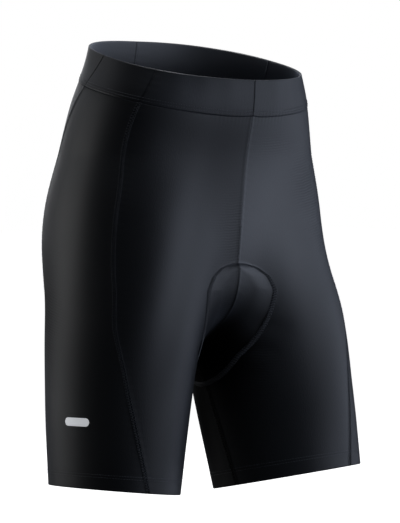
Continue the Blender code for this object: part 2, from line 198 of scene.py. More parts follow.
def settle(points, on_middle):
    """The same points moved onto the cloth, and the directions straight out of it."""
    for _ in range(2):
        steepest = slope(points, on_middle)
        points = points - steepest * (figure_depth(points) / np.sum(steepest**2, axis=-1))[..., None]
    return points, unit(steepest)


# %% [markdown]
# ## Naming places on the garment
# Each half of the garment is a stack of sections. A place on it has two numbers: its row, which is
# 0 at the waist, 1 at the crotch and 2 at the hem, and its share of the way round, from the front
# seam or the inseam round the outside to the back. Seams, folds and stitches are all placed with
# these two numbers, so they stay on the cloth wherever it goes.

# %% Survey of one half
SURVEY_TRUNK = 56
SURVEY_LEG = 36
SURVEY_ROUND = 200
EASE_SECTIONS = 9         # sections on each side of the crotch whose lines are eased
EASE_ROUNDS = 40
EASE_CLEAR = 0.05         # share of the way round, beside the seams, that is eased less
RAYS = 300                # rays that find one section
LONG_RAY = 0.28           # longer than any way from inside the figure to its cloth
TRUNK_RAY = 0.25          # the same for ways that stay in the trunk
INNER_SIDE = 0.05         # how far out from the middle the search for the outside starts
SEAM_MIDDLE = (0.0, 0.01, -0.12)  # inside the figure, amid the seam between the legs
RAY_START = (0.42, 0.10)  # where a section's rays start: share of the way out, and what a row adds


def reach_of_rays(start, directions, longest, side=0):
    """Distance along each ray to the cloth, within one half of the body where a side is given."""
    def outside(distance):
        point = start + directions * distance[..., None]
        depth = figure_depth(point)
        if side:
            depth = np.maximum(depth, -side * point[..., 0])
        return depth > 0

    near = np.zeros(directions.shape[:-1])
    far = np.full(directions.shape[:-1], longest)
    found = np.zeros(directions.shape[:-1], dtype=bool)
    for distance in np.linspace(0, longest, 24)[1:]:
        here = np.full(near.shape, distance)
        first_time = outside(here) & ~found
        far = np.where(first_time, here, far)
        found |= first_time
        near = np.where(found, near, here)
    for _ in range(14):
        middle = (near + far) / 2
        out = outside(middle)
        far = np.where(out, middle, far)
        near = np.where(out, near, middle)
    return (near + far) / 2


def fan(first, last, count, across, ahead):
    """Directions that sweep from one angle to another between two axes."""
    angles = np.linspace(first, last, count)[:, None]
    return np.cos(angles) * across + np.sin(angles) * ahead


def length_along(line):
    """Running length of a line of points."""
    return np.concatenate([[0.0], np.cumsum(np.linalg.norm(np.diff(line, axis=0), axis=1))])


def place_along(line, share, values=None):
    """Points of a line, or values given at them, at shares of its length."""
    reached = length_along(line)
    at = np.asarray(share) * reached[-1]
    values = line if values is None else values
    return np.stack([np.interp(at, reached, values[:, axis]) for axis in range(3)], axis=-1)


def middle_seam():
    """The front and back halves of the seam between the legs, each from waist to crotch."""
    start = np.array(SEAM_MIDDLE)
    rays = fan(radians(-262), radians(80), 4 * RAYS, np.array([0, 1, 0]), np.array([0, 0, 1]))
    line = start + rays * reach_of_rays(start, rays, TRUNK_RAY)[:, None]
    line = line[line[:, 2] < WAIST_TILT * line[:, 1]]
    lowest = int(np.argmin(line[:, 2]))
    return line[:lowest + 1], line[lowest:][::-1]


def survey_section(start, first, last, across, ahead, side, ends=None):
    """One section as evenly spaced points round the cloth."""
    rays = fan(first, last, RAYS, across, ahead)
    line = start + rays * reach_of_rays(start, rays, LONG_RAY, side)[:, None]
    if ends is not None:
        line[0], line[-1] = ends
    return place_along(line, np.linspace(0, 1, SURVEY_ROUND + 1))


def survey_half(name, front, back):
    """Points of one half, a row for each section."""
    side = SIDES[name]
    crotch = front[-1]
    sections = []
    for row in np.linspace(0, 1, SURVEY_TRUNK + 1):
        at_front = place_along(front, row)
        at_back = place_along(back, row)
        inner = np.array([side * INNER_SIDE, crotch[1] * row, OUTER_CROTCH * row])
        ray = np.array([[side, 0.0, 0.0]])
        outer = inner + ray[0] * reach_of_rays(inner, ray, TRUNK_RAY)[0]
        middle = (at_front + at_back) / 2
        closed = row > 0.999
        ahead = np.array([0.0, 1.0, 0.0]) if closed else unit(at_back - at_front)
        across = unit((outer - middle) - ahead * np.dot(outer - middle, ahead))
        start = middle + (outer - middle) * (RAY_START[0] + RAY_START[1] * row)
        first, last = -pi, pi
        if not closed:
            first = atan2(np.dot(at_front - start, ahead), np.dot(at_front - start, across))
            last = atan2(np.dot(at_back - start, ahead), np.dot(at_back - start, across))
        ends = (at_front, at_back)
        sections.append(survey_section(start, first, last, across, ahead, side, ends))
    top = start
    outer_height, out, forward, tip_out, tip_forward = HEM[name]
    bottom = np.array([side * out, -forward, outer_height - sin(tip_out) * HEM_REACH])
    tip_at_top = atan2(outer[2] - crotch[2], abs(outer[0] - crotch[0]))
    for row in np.linspace(0, 1, SURVEY_LEG + 1)[1:]:
        tip = tip_at_top + (tip_out - tip_at_top) * (1 - (1 - row) ** 2)
        lean = tip_forward * row
        across = np.array([side * cos(tip), 0.0, sin(tip)])
        ahead = np.array([0.0, cos(lean), -sin(lean)])
        start = top + (bottom - top) * row
        sections.append(survey_section(start, -pi, pi, across, ahead, side))
    return np.array(sections)


# %% The two halves
class Half:
    """One half of the garment, asked for places by row and share of the way round."""

    def __init__(self, name, front, back):
        self.name = name
        self.side = SIDES[name]
        self.shares = np.linspace(0, 1, SURVEY_ROUND + 1)
        self.points = self.ease(survey_half(name, front, back))
        rows = np.linalg.norm(np.diff(self.points, axis=0), axis=2)
        self.trunk_length = rows[:SURVEY_TRUNK].sum(axis=0)
        self.leg_length = rows[SURVEY_TRUNK:].sum(axis=0)
        self.round = np.linalg.norm(np.diff(self.points, axis=1), axis=2).sum(axis=1)
        trunk = np.linspace(0, 1, SURVEY_TRUNK + 1)
        self.rows = np.concatenate([trunk, 1 + np.linspace(0, 1, SURVEY_LEG + 1)[1:]])

    def ease(self, points):
        """Takes the kink out of the lines that run down the cloth, where trunk turns into leg."""
        sections = np.arange(len(points))
        near_crotch = 1 - smooth_step(np.abs(sections - SURVEY_TRUNK) / EASE_SECTIONS)
        off_seams = smooth_step(np.minimum(self.shares, 1 - self.shares) / EASE_CLEAR)
        weight = (near_crotch[1:-1, None] * off_seams[None, :])[..., None]
        for _ in range(EASE_ROUNDS):
            midway = (points[:-2] + points[2:]) / 2
            points[1:-1] += 0.5 * weight * (midway - points[1:-1])
        return points

    def place(self, row, share):
        row, share = np.broadcast_arrays(row, share)
        i = np.where(row < 1, row * SURVEY_TRUNK, SURVEY_TRUNK + (row - 1) * SURVEY_LEG)
        j = share * SURVEY_ROUND
        i0 = np.clip(i.astype(int), 0, SURVEY_TRUNK + SURVEY_LEG - 1)
        j0 = np.clip(j.astype(int), 0, SURVEY_ROUND - 1)
        s = (i - i0)[..., None]
        t = (j - j0)[..., None]
        upper, lower = (self.points[k, j0] * (1 - t) + self.points[k, j0 + 1] * t for k in (i0, i0 + 1))
        return upper * (1 - s) + lower * s

    def trunk_at(self, share):
        return np.interp(share, self.shares, self.trunk_length)

    def leg_at(self, share):
        return np.interp(share, self.shares, self.leg_length)

    def below_waist(self, row, share):
        """Distance down the cloth from the waist."""
        return np.minimum(row, 1) * self.trunk_at(share) + np.maximum(row - 1, 0) * self.leg_at(share)

    def above_hem(self, row, share):
        return self.trunk_at(share) + self.leg_at(share) - self.below_waist(row, share)

    def row_below_waist(self, distance, share):
        return distance / self.trunk_at(share)

    def row_above_hem(self, distance, share):
        return 2 - distance / self.leg_at(share)

    def way_round(self, row):
        """Length of the way round the half at a row."""
        return np.interp(row, self.rows, self.round)


front_rise, back_rise = middle_seam()
halves = {name: Half(name, front_rise, back_rise) for name in SIDES}
for half in halves.values():
    print(f"{half.name} half: side {half.below_waist(2.0, 0.45) * 1000:.0f} mm,",
          f"hem {half.way_round(2.0) * 1000:.0f} mm round")

# %% [markdown]
# ## Seams
# The shorts are cut in six panels: front, side and back for each leg. The side seams run down the
# thigh in slow curves, so their places are a short table with a row for each level.

# %% Where the seams run
SEAMS = [
    # row, front side seam, back side seam
    (0.00, 0.331, 0.528),
    (0.12, 0.353, 0.572),
    (0.30, 0.366, 0.625),
    (0.50, 0.364, 0.645),
    (0.75, 0.372, 0.655),
    (1.00, 0.383, 0.660),
    (1.30, 0.356, 0.655),
    (1.60, 0.326, 0.650),
    (2.00, 0.284, 0.640),
]
LAST_TRUNK_ROW = 1.001    # rows below this one count as the crotch row or higher


def seam_share(seam, row):
    """Share of the way round at which a panel's edge lies: 0 front, 1 and 2 side seams, 3 back."""
    if seam == 0:
        return np.zeros_like(row)
    if seam == 3:
        return np.ones_like(row)
    return smooth_column(SEAMS, seam, row)


def gap_to_seam(half, row, share, seam):
    """Distance over the cloth from a place to a seam, level with it."""
    return np.abs(share - seam_share(seam, row)) * half.way_round(row)


# %% [markdown]
# ## The seat pad's outline
# A padded insert is sewn inside, along the seam between the legs. From outside it shows as a
# stitched outline and as a soft swelling of the cloth. Its outline is a table of half widths
# against the distance from the crotch point, measured along that seam.

# %% How far inside the pad's outline a place lies
PAD = [
    # distance behind the crotch point, half width
    (-0.1258, 0.000),
    (-0.1246, 0.012),
    (-0.1210, 0.026),
    (-0.1130, 0.040),
    (-0.1000, 0.049),
    (-0.0800, 0.047),
    (-0.0400, 0.042),
    (0.0100, 0.046),
    (0.0600, 0.060),
    (0.1000, 0.072),
    (0.1350, 0.075),
    (0.1600, 0.066),
    (0.1780, 0.046),
    (0.1860, 0.024),
    (0.1890, 0.000),
]
PAD_SLOPE = 0.018         # width of the slope from edge to middle
PAD_BULGE = 0.0040        # how far the pad pushes the cloth out
AT_ONCE = 4000            # points that are measured together

rise_line = np.concatenate([front_rise, back_rise[::-1][1:]])
rise_reached = length_along(rise_line)
behind_crotch = rise_reached - rise_reached[len(front_rise) - 1]


def inside_pad(points):
    """Distance inside the pad's outline, below zero outside it."""
    flat = points.reshape(-1, 3)
    near_line, near_behind = rise_line[::4], behind_crotch[::4]
    gaps, behind = np.empty(len(flat)), np.empty(len(flat))
    for start in range(0, len(flat), AT_ONCE):
        now = slice(start, start + AT_ONCE)
        some = flat[now]
        apart = np.linalg.norm(some[:, None, :] - near_line[None, :, :], axis=2)
        i = np.clip(apart.argmin(axis=1), 1, len(near_line) - 2)
        along = near_line[i + 1] - near_line[i - 1]
        share = np.sum((some - near_line[i]) * along, axis=1) / np.sum(along**2, axis=1)
        share = np.clip(share, -0.5, 0.5)
        foot = near_line[i] + along * share[:, None]
        gaps[now] = np.linalg.norm(some - foot, axis=1)
        behind[now] = near_behind[i] + share * (near_behind[i + 1] - near_behind[i - 1])
    table = np.array(PAD)
    width = np.interp(behind, table[:, 0], table[:, 1])
    end = np.maximum(table[0, 0] - behind, behind - table[-1, 0])
    inside = np.where(end > 0, -np.hypot(end, gaps), width - gaps)
    return inside.reshape(points.shape[:-1])


# %% [markdown]
# ## How the pad shapes the cloth
# Inside its outline the pad pushes the cloth out. Its edge is sewn down with a cover stitch nearly
# 5 mm wide, so the cloth steps up beside the stitching and then swells slowly to the pad's crown.

# %% Swelling over the pad
EDGE_RISE = 0.0009        # how far the cloth steps up at the pad's sewn edge
EDGE_SLOPE = 0.0045
CROWN_SLOPE = 0.026       # from the outline to the pad's full height


def pad_lift(inside):
    """How far the cloth stands out over the pad, in metres."""
    edge = EDGE_RISE * smooth_step(inside / EDGE_SLOPE)
    return edge + (PAD_BULGE - EDGE_RISE) * smooth_step(inside / CROWN_SLOPE)


# %% [markdown]
# ## Folds, ripples and puckers
# Stretch cloth over a filled form has few folds, but it is never quite smooth. A fold is given
# with its two ends, its width and its depth, and it fades out at both ends. Where the cloth
# is a little slack it ripples in waves under 3 mm apart, finer than the mesh, so the slack patches
# are noted on the points and the knit draws the ripples. Stitching draws the cloth in, which
# puckers it along the waistband, the hems and the seams. Some of each lie on the hidden sides.

# %% Tables of folds and slack patches
FOLDS = [
    # half, row and share where it starts, row and share where it ends, width, height
    ("left", (0.93, 0.030), (1.10, 0.190), 0.0075, -0.0016),
    ("left", (0.84, 0.050), (0.96, 0.210), 0.0090, -0.0010),
    ("left", (1.16, 0.020), (1.26, 0.150), 0.0080, -0.0009),
    ("right", (0.95, 0.030), (1.08, 0.170), 0.0075, -0.0013),
    ("right", (1.10, 0.020), (1.26, 0.130), 0.0085, -0.0010),
    ("right", (0.86, 0.960), (1.02, 0.840), 0.0085, -0.0014),
    ("right", (1.02, 0.900), (1.06, 0.720), 0.0095, -0.0012),
    ("left", (0.88, 0.965), (1.04, 0.850), 0.0080, -0.0012),
    ("left", (1.05, 0.900), (1.11, 0.730), 0.0100, -0.0015),
    ("left", (1.22, 0.960), (1.30, 0.840), 0.0090, -0.0009),
    ("right", (0.20, 0.930), (0.33, 0.780), 0.0120, -0.0008),
    ("left", (0.24, 0.900), (0.30, 0.740), 0.0110, -0.0009),
]
SLACK = [
    # half, row, share, reach down, reach across, strength
    ("left", 0.42, 0.235, 0.034, 0.028, 0.9),
    ("left", 0.66, 0.300, 0.030, 0.030, 0.7),
    ("left", 0.24, 0.120, 0.012, 0.030, 0.6),
    ("right", 0.95, 0.560, 0.050, 0.030, 1.0),
    ("right", 1.24, 0.585, 0.034, 0.024, 0.7),
    ("right", 0.45, 0.700, 0.036, 0.032, 0.8),
    ("left", 0.72, 0.600, 0.040, 0.030, 0.9),
    ("left", 1.30, 0.560, 0.040, 0.026, 0.7),
]
print(f"{len(FOLDS)} folds and {len(SLACK)} slack patches")


# %% Patches of painted light and shade on the knit
PAINTED_LIGHT_PATCHES = [
    # half, row, share, reach down, reach across, strength
    ("left", 0.60, 0.085, 0.058, 0.046, 0.90),
    ("left", 0.38, 0.110, 0.050, 0.045, 0.35),
    ("left", 1.55, 0.230, 0.060, 0.028, -0.35),
    ("left", 1.20, 0.280, 0.070, 0.022, -0.15),
    ("left", 0.86, 0.035, 0.028, 0.022, -0.35),
    ("left", 0.98, 0.050, 0.050, 0.050, -0.75),
    ("left", 1.55, 0.945, 0.120, 0.050, -0.92),
    ("left", 1.30, 0.620, 0.080, 0.050, 0.30),
    ("left", 0.55, 0.780, 0.080, 0.050, 0.25),
    ("right", 0.28, 0.090, 0.075, 0.045, -0.20),
    ("right", 0.20, 0.290, 0.060, 0.022, 0.50),
    ("right", 0.06, 0.250, 0.026, 0.040, 1.20),
    ("right", 0.08, 0.370, 0.050, 0.028, -0.55),
    ("right", 0.05, 0.040, 0.026, 0.030, 0.30),
    ("right", 0.85, 0.270, 0.110, 0.020, 0.60),
    ("right", 1.10, 0.222, 0.070, 0.014, 0.40),
    ("right", 1.50, 0.195, 0.110, 0.014, 0.80),
    ("right", 0.98, 0.050, 0.045, 0.045, -0.80),
    ("right", 1.50, 0.540, 0.100, 0.022, 0.25),
    ("right", 0.60, 0.760, 0.070, 0.050, 0.30),
]
INNER_BACK_AND_PAINTED_LIGHT = 2.4        # inside of the wall painted 2.4 times lighter and shinier: partly the knit's lighter back, partly painted light for the dim inside of the waist


# %% How far folds move the cloth, and where it is slack
FOLD_PLACES = 48          # places along a fold that are measured to
FOLD_SMOOTH = 0.0012      # how softly the nearest of them is chosen


def folds_at(points, half):
    """Sum of all folds at places of the cloth, in metres outward."""
    total = np.zeros(points.shape[:-1])
    for name, start, end, width, height in FOLDS:
        if name != half.name:
            continue
        share = np.linspace(0, 1, FOLD_PLACES)
        row = start[0] + (end[0] - start[0]) * share
        way = start[1] + (end[1] - start[1]) * share
        line = half.place(row, way)
        apart = np.linalg.norm(points[..., None, :] - line, axis=-1)
        pull = np.exp((apart.min(axis=-1, keepdims=True) - apart) / FOLD_SMOOTH)
        nearest = (pull * share).sum(axis=-1) / pull.sum(axis=-1)
        fade = np.sin(pi * np.clip(nearest, 0.01, 0.99)) ** 1.2
        total += height * fade * np.exp(-(apart.min(axis=-1) / width) ** 2)
    return total


def patches_at(table, points, half):
    """Sum of a table's soft patches at places of the cloth."""
    total = np.zeros(points.shape[:-1])
    for name, row, share, reach_down, reach_across, strength in table:
        if name == half.name:
            middle = half.place(row, share)
            down = unit(half.place(row + 0.02, share) - half.place(row - 0.02, share))
            across = unit(half.place(row, share + 0.01) - half.place(row, share - 0.01))
            far = ((points - middle) @ down / reach_down) ** 2
            far += ((points - middle) @ across / reach_across) ** 2
            total += strength * np.exp(-far)
    return total


def painted_light_note(points, half):
    """Painted light and shade on the outside and the inside of a wall, as a factor for every point."""
    outside = np.maximum(1 + patches_at(PAINTED_LIGHT_PATCHES, points, half), 0.05).ravel()
    return np.concatenate([outside, np.full(outside.size, INNER_BACK_AND_PAINTED_LIGHT)])


# %% [markdown]
# ## The cloth's outer surface
# One function gives the outer surface everywhere: the settled figure, the pad's swelling, the
# folds, and the puckers along the stitching. Panels, waistband and stitches all ask it for their
# points, so nothing floats off the cloth or sinks into it.

# %% One surface for all pieces
BAND_HEIGHT = 0.037       # waistband, measured down the cloth
BAND_RAISE = 0.0006       # how far the waistband stands proud of the panels
HEM_HEIGHT = 0.0175       # turned hem
PUCKER_HEIGHT = 0.00013
PUCKER_PITCH = 0.0052
BAND_PUCKERS = 0.0045     # how far the puckers reach from the waistband, a hem or a seam
HEM_PUCKERS = 0.0035
SEAM_PUCKERS = 0.0050
SEAM_PUCKER_HEIGHT = 0.00012
SEAM_PUCKER_PITCH = 0.0074
SEAM_FLAT = 0.0008        # how far from a seam's middle the puckers begin


def puckers_at(half, row, share):
    """Puckers along the waistband's lower edge, the hem's stitching and the seams."""
    around = share * half.way_round(row)
    down = half.below_waist(row, share)
    from_band = np.abs(down - BAND_HEIGHT)
    from_hem = np.abs(half.above_hem(row, share) - HEM_HEIGHT)
    wave = np.sin(2 * pi * around / PUCKER_PITCH + 1.3 * np.sin(around / 0.019))
    total = PUCKER_HEIGHT * wave * np.exp(-from_band / BAND_PUCKERS)
    total += 0.5 * PUCKER_HEIGHT * wave * np.exp(-from_hem / HEM_PUCKERS)
    for seam in range(4):
        gap = gap_to_seam(half, row, share, seam)
        beat = np.sin(2 * pi * down / SEAM_PUCKER_PITCH + 1.1 * np.sin(down / 0.023 + seam))
        beat *= np.exp(-gap / SEAM_PUCKERS) * (1 - np.exp(-gap / SEAM_FLAT))
        total += SEAM_PUCKER_HEIGHT * beat
    return total


def on_middle_seam(row, share):
    return (row < LAST_TRUNK_ROW) & ((share <= 0) | (share >= 1))


def cloth_at(half, row, share):
    """Points on the outside of the cloth and the directions straight out of it."""
    row, share = np.broadcast_arrays(np.asarray(row, float), np.asarray(share, float))
    points, directions = settle(half.place(row, share), on_middle_seam(row, share))
    lift = pad_lift(inside_pad(points)) + folds_at(points, half) + puckers_at(half, row, share)
    return points + directions * lift[..., None], directions


# %% [markdown]
# ## Turning grids of points into cloth
# A panel is a thin wall: an outer grid of points, an inner grid behind it, and a narrow rim that
# joins the two. The same grid numbers give each panel a map in real metres, which the knit
# pattern is drawn with, and small notes on every point, such as its distance from the nearest
# seam, which the materials read.

# %% Mesh helpers
def grid_faces(rows, columns, offset=0):
    i, j = np.meshgrid(np.arange(rows - 1), np.arange(columns - 1), indexing="ij")
    corner = (i * columns + j).ravel() + offset
    return np.stack([corner, corner + 1, corner + columns + 1, corner + columns], axis=1)


def rim_loop(rows, columns):
    """Point numbers round the edge of a grid."""
    top = np.arange(columns)
    right = np.arange(1, rows) * columns + columns - 1
    bottom = (rows - 1) * columns + np.arange(columns - 2, -1, -1)
    left = np.arange(rows - 2, 0, -1) * columns
    return np.concatenate([top, right, bottom, left])


def metre_map(points):
    """Metres along the row and down the column, for each point of a wall's outer and inner grid."""
    across = np.linalg.norm(np.diff(points, axis=1), axis=2)
    down = np.linalg.norm(np.diff(points, axis=0), axis=2)
    u = np.concatenate([np.zeros((len(points), 1)), np.cumsum(across, axis=1)], axis=1)
    v = np.concatenate([np.zeros((1, points.shape[1])), np.cumsum(down, axis=0)], axis=0)
    return np.tile(np.stack([(u - u[:, -1:] / 2).ravel(), v.ravel()], axis=1), (2, 1))


def new_piece(name, points, faces, material, notes=None, uv=None):
    """A mesh piece that rides on the frame's one body."""
    mesh = bpy.data.meshes.new(name)
    mesh.from_pydata(points.tolist(), [], faces.tolist())
    mesh.validate()
    for note, values in (notes or {}).items():
        attribute = mesh.attributes.new(note, "FLOAT", "POINT")
        attribute.data.foreach_set("value", np.asarray(values, np.float32))
    if uv is not None:
        layer = mesh.uv_layers.new(name="metres")
        corners = np.empty(len(mesh.loops), dtype=np.int32)
        mesh.loops.foreach_get("vertex_index", corners)
        layer.data.foreach_set("uv", uv[corners].astype(np.float32).ravel())
    mesh.shade_smooth()
    mesh.materials.append(material)
    piece = bpy.data.objects.new(name, mesh)
    bpy.context.collection.objects.link(piece)
    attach(piece, "root")
    return piece


def wall(outer, inner, flip):
    """Points and faces of a closed wall between two grids of the same size."""
    rows, columns = outer.shape[:2]
    count = rows * columns
    points = np.concatenate([outer.reshape(-1, 3), inner.reshape(-1, 3)])
    outside = grid_faces(rows, columns)
    inside = grid_faces(rows, columns, count)[:, ::-1]
    loop = rim_loop(rows, columns)
    after = np.roll(loop, -1)
    rim = np.stack([after, loop, loop + count, after + count], axis=1)
    faces = np.concatenate([outside, inside, rim])
    return points, faces[:, ::-1] if flip else faces


# %% [markdown]
# ## Colours and nodes
# Colours are written as sRGB hex, the way a colour is read off a swatch, and turned to linear
# light by one function. A second small function adds a shader node with its settings and links.

# %% Colour and node helpers
def linear(colour):
    """Linear RGBA from an sRGB hex colour."""
    levels = [int(colour[k:k + 2], 16) / 255 for k in (1, 3, 5)]
    light = [c / 12.92 if c <= 0.04045 else ((c + 0.055) / 1.055) ** 2.4 for c in levels]
    return (*light, 1.0)


def add_node(tree, kind, inputs=None, **settings):
    """Adds a node, sets it up, and fills its inputs with values or with other nodes' outputs."""
    node = tree.nodes.new(kind)
    for name, value in settings.items():
        setattr(node, name, value)
    for name, value in (inputs or {}).items():
        if isinstance(value, bpy.types.NodeSocket):
            tree.links.new(value, node.inputs[name])
        else:
            node.inputs[name].default_value = value
    return node


def new_material(name, settings=None):
    """A material with its shader set up; also gives its node tree and its shader."""
    material = bpy.data.materials.new(name)
    material.use_nodes = True
    surface = material.node_tree.nodes["Principled BSDF"]
    for socket, value in (settings or {}).items():
        surface.inputs[socket].default_value = value
    return material, material.node_tree, surface


def blend(tree, factor, a, b, blend_type="MIX"):
    """One colour blended over another."""
    node = add_node(tree, "ShaderNodeMix", {"Factor": factor, "A": a, "B": b},
                    data_type="RGBA", blend_type=blend_type)
    return node.outputs["Result"]


def multiply(tree, a, b):
    return add_node(tree, "ShaderNodeMath", {0: a, 1: b}, operation="MULTIPLY").outputs["Value"]


def bump(tree, height, distance, strength=1.0, **others):
    """Raises the surface by a pattern."""
    inputs = {"Height": height, "Strength": strength, "Distance": distance, **others}
    return add_node(tree, "ShaderNodeBump", inputs).outputs["Normal"]


def shade_of(colour, *factors):
    """A linear colour with its red, green and blue each multiplied."""
    return (*[level * factor for level, factor in zip(linear(colour), factors)], 1.0)


# %% [markdown]
# ## Satin warp knit
# The panels are a warp knit of polyamide and elastane with a soft satin face. Its fine filaments
# add a cool sheen where the cloth turns away from the eye. Real wales are about 0.35 mm apart, too
# fine to show, so the grain is drawn about three times coarser. The left front is a lighter,
# shinier copy of the knit: partly its nap, which runs the other way as on mirrored panels, and
# partly painted light. Soft patches paint light and shade into the knit's colour, sheen and shine,
# lighter across the groin and darker in other places, and the inside of every wall is painted lighter.

# %% Panel and waistband cloth
RIPPLE_PITCH = 0.0028     # from one ripple to the next where the cloth is slack
RIPPLE_HEIGHT = 0.00022
CLOUDS = 26.0             # clouds of shade per metre, about 4 cm apart
SEAM_SHADE = (0.0005, 0.0024)  # distances from a seam between which its shade fades out
WALE_STRETCH = 0.35       # the grain's pitch across the cloth, over its pitch down it


def satin_knit(name, base, sheen, shine, seam_shade, wale=0.0011, grain=0.00010):
    material, tree, surface = new_material(name, {
        "Roughness": 0.52, "IOR": 1.5, "Sheen Roughness": 0.5, "Sheen Tint": linear("#acb4c4")})
    place = add_node(tree, "ShaderNodeTexCoord")
    seam_gap, slack, painted_light_and_shade = [add_node(tree, "ShaderNodeAttribute", attribute_name=note).outputs["Fac"]
                               for note in ("seam_gap", "slack", "painted_light_and_shade")]
    cloudy = add_node(tree, "ShaderNodeTexNoise",
                      {"Vector": place.outputs["Object"], "Scale": CLOUDS, "Detail": 3.0})
    tone = add_node(tree, "ShaderNodeMapRange",
                    {"Value": cloudy.outputs["Fac"], "From Min": 0.3, "From Max": 0.7})
    shades = blend(tree, tone.outputs["Result"],
                   shade_of(base, 0.90, 0.90, 0.92), shade_of(base, 1.10, 1.10, 1.08))
    near_seam = add_node(tree, "ShaderNodeMapRange",
                         {"Value": seam_gap, "From Min": SEAM_SHADE[0], "From Max": SEAM_SHADE[1],
                          "To Min": seam_shade, "To Max": 1.0}, interpolation_type="SMOOTHSTEP")
    # The seam's darker joint times the painted light and shade of the patches scales the knit's colour, sheen
    # and shine.
    seam_tone_and_painted_light = multiply(tree, near_seam.outputs["Result"], painted_light_and_shade)
    tree.links.new(blend(tree, 1.0, shades, seam_tone_and_painted_light, "MULTIPLY"), surface.inputs["Base Color"])
    tree.links.new(multiply(tree, seam_tone_and_painted_light, sheen), surface.inputs["Sheen Weight"])
    tree.links.new(multiply(tree, seam_tone_and_painted_light, shine), surface.inputs["Specular IOR Level"])
    ripples = add_node(tree, "ShaderNodeTexWave",
                       {"Vector": place.outputs["UV"], "Scale": 2 * pi / 20 / RIPPLE_PITCH,
                        "Distortion": 3.2, "Detail": 2.0, "Detail Scale": 0.8}, bands_direction="Y")
    stretched = add_node(tree, "ShaderNodeMapping",
                         {"Vector": place.outputs["UV"], "Scale": (1 / wale, WALE_STRETCH / wale, 1)})
    wales = add_node(tree, "ShaderNodeTexNoise",
                     {"Vector": stretched.outputs["Vector"], "Scale": 1.0, "Detail": 2.0})
    waves = bump(tree, multiply(tree, ripples.outputs["Fac"], slack), RIPPLE_HEIGHT)
    raised = bump(tree, wales.outputs["Fac"], grain, Normal=waves)
    tree.links.new(raised, surface.inputs["Normal"])
    return material


knit = satin_knit("polyamide_elastane_warp_knit", "#1a1c1f", 0.40, 0.50, 0.35)
# Lighter, shinier copies of the knit and band for the left front: partly its turned nap, partly painted
# light.
knit_nap_turned_and_painted_lighter = satin_knit("warp_knit_with_its_nap_turned", "#1e2125", 0.55, 0.66, 0.45)
band_knit = satin_knit("folded_elastic_band_knit", "#1c1e22", 0.40, 0.42, 0.75, wale=0.0014)
band_nap_turned_and_painted_lighter = satin_knit("folded_band_knit_with_its_nap_turned", "#202327", 0.52, 0.58, 0.75, wale=0.0014)
print("cloth materials:", knit.name, knit_nap_turned_and_painted_lighter.name, band_knit.name, band_nap_turned_and_painted_lighter.name)

# %% [markdown]
# ## Six panels
# Each panel is one smooth grid between its two seams. Columns crowd towards the seams, where the
# cloth dips into the groove between two panels, and rows crowd at the hem, which is turned in and
# so ends in a soft rounded fold of double thickness.

# %% Panel grids
CLOTH = 0.0009            # one layer of cloth
TURNED = 0.0021           # cloth turned in and stitched
SEAM_GAP = 0.00002        # half the space between two panels
BAND_GAP = 0.00003        # half the space between waistband and panel
NEAR_BAND = 0.006         # rows crowd down to here below the waistband's top edge
THINNEST = 0.0002         # the rounded edge of folded cloth
GROOVE_DEPTH = 0.00035
GROOVE_WIDTH = 0.0011
RIDGE_HEIGHT = 0.00022    # the flat-locked seam stands up a little
RIDGE_WIDTH = 0.0032
BODY_ROWS = 168
LEG_ROWS = 104
EDGE_STEPS = (0.0, 0.00035, 0.0008, 0.0014, 0.0022, 0.0033)
NOMINAL_WIDTH = {"front": 0.150, "side": 0.110, "back": 0.150}
PAD_REACH = {"front": 0.056, "side": 0.0, "back": 0.082}
FINE_STEP = 0.0014        # between columns over the pad
COARSE_STEP = 0.0028      # between columns elsewhere
HEM_STEPS = (0.0150, 0.0163, 0.0172, 0.0180)
SEAM_WIDENS = 0.9         # how much wider the flat-locked seams look low on the leg
QUIET_SEAM = 0.0020       # how much less the seam in front shades the cloth high on the body
QUIET_ROWS = (0.58, 0.74)  # rows between which it grows to its full depth
WIDE_ROWS = (1.1, 1.7)     # rows between which the flat-locked seams widen
GUESSED_ROWS = (0.13, 1.9, 2.0)  # rows at which the panels' widths are read at top, hem and edge
# The panel that takes the lighter copy of the knit, partly for its turned nap, partly as painted light.
NAP_TURNED_AND_PAINTED_LIGHTER = ("front", "left")


def column_steps(panel):
    """Where the columns of a panel stand, from 0 at its first seam to 1 at its second."""
    width, reach, near = NOMINAL_WIDTH[panel], PAD_REACH[panel], np.array(EDGE_STEPS)
    first = max(reach, near[-1])
    fine = np.linspace(near[-1], first, 1 + round((first - near[-1]) / FINE_STEP))
    coarse = np.linspace(first, width - near[-1], 1 + round((width - near[-1] - first) / COARSE_STEP))
    steps = np.concatenate([near[:-1], fine, coarse[1:], width - near[:-1][::-1]]) / width
    return 1 - steps[::-1] if panel == "back" else steps


def panel_shares(panel, row, steps):
    first = PANELS.index(panel)
    left = seam_share(first, row)
    return left + (seam_share(first + 1, row) - left) * steps


def rounded_steps(thickness):
    """Distances from a fold at which rows stand, so that it looks round."""
    return thickness / 2 * (1 - np.cos(np.linspace(0, pi / 2, 6)))


def hem_drops():
    """Distances above the hem's edge at which rows stand, crowded at its rounded fold."""
    return np.concatenate([rounded_steps(TURNED), np.linspace(0.0026, 0.0150, 9), HEM_STEPS[1:]])[::-1]


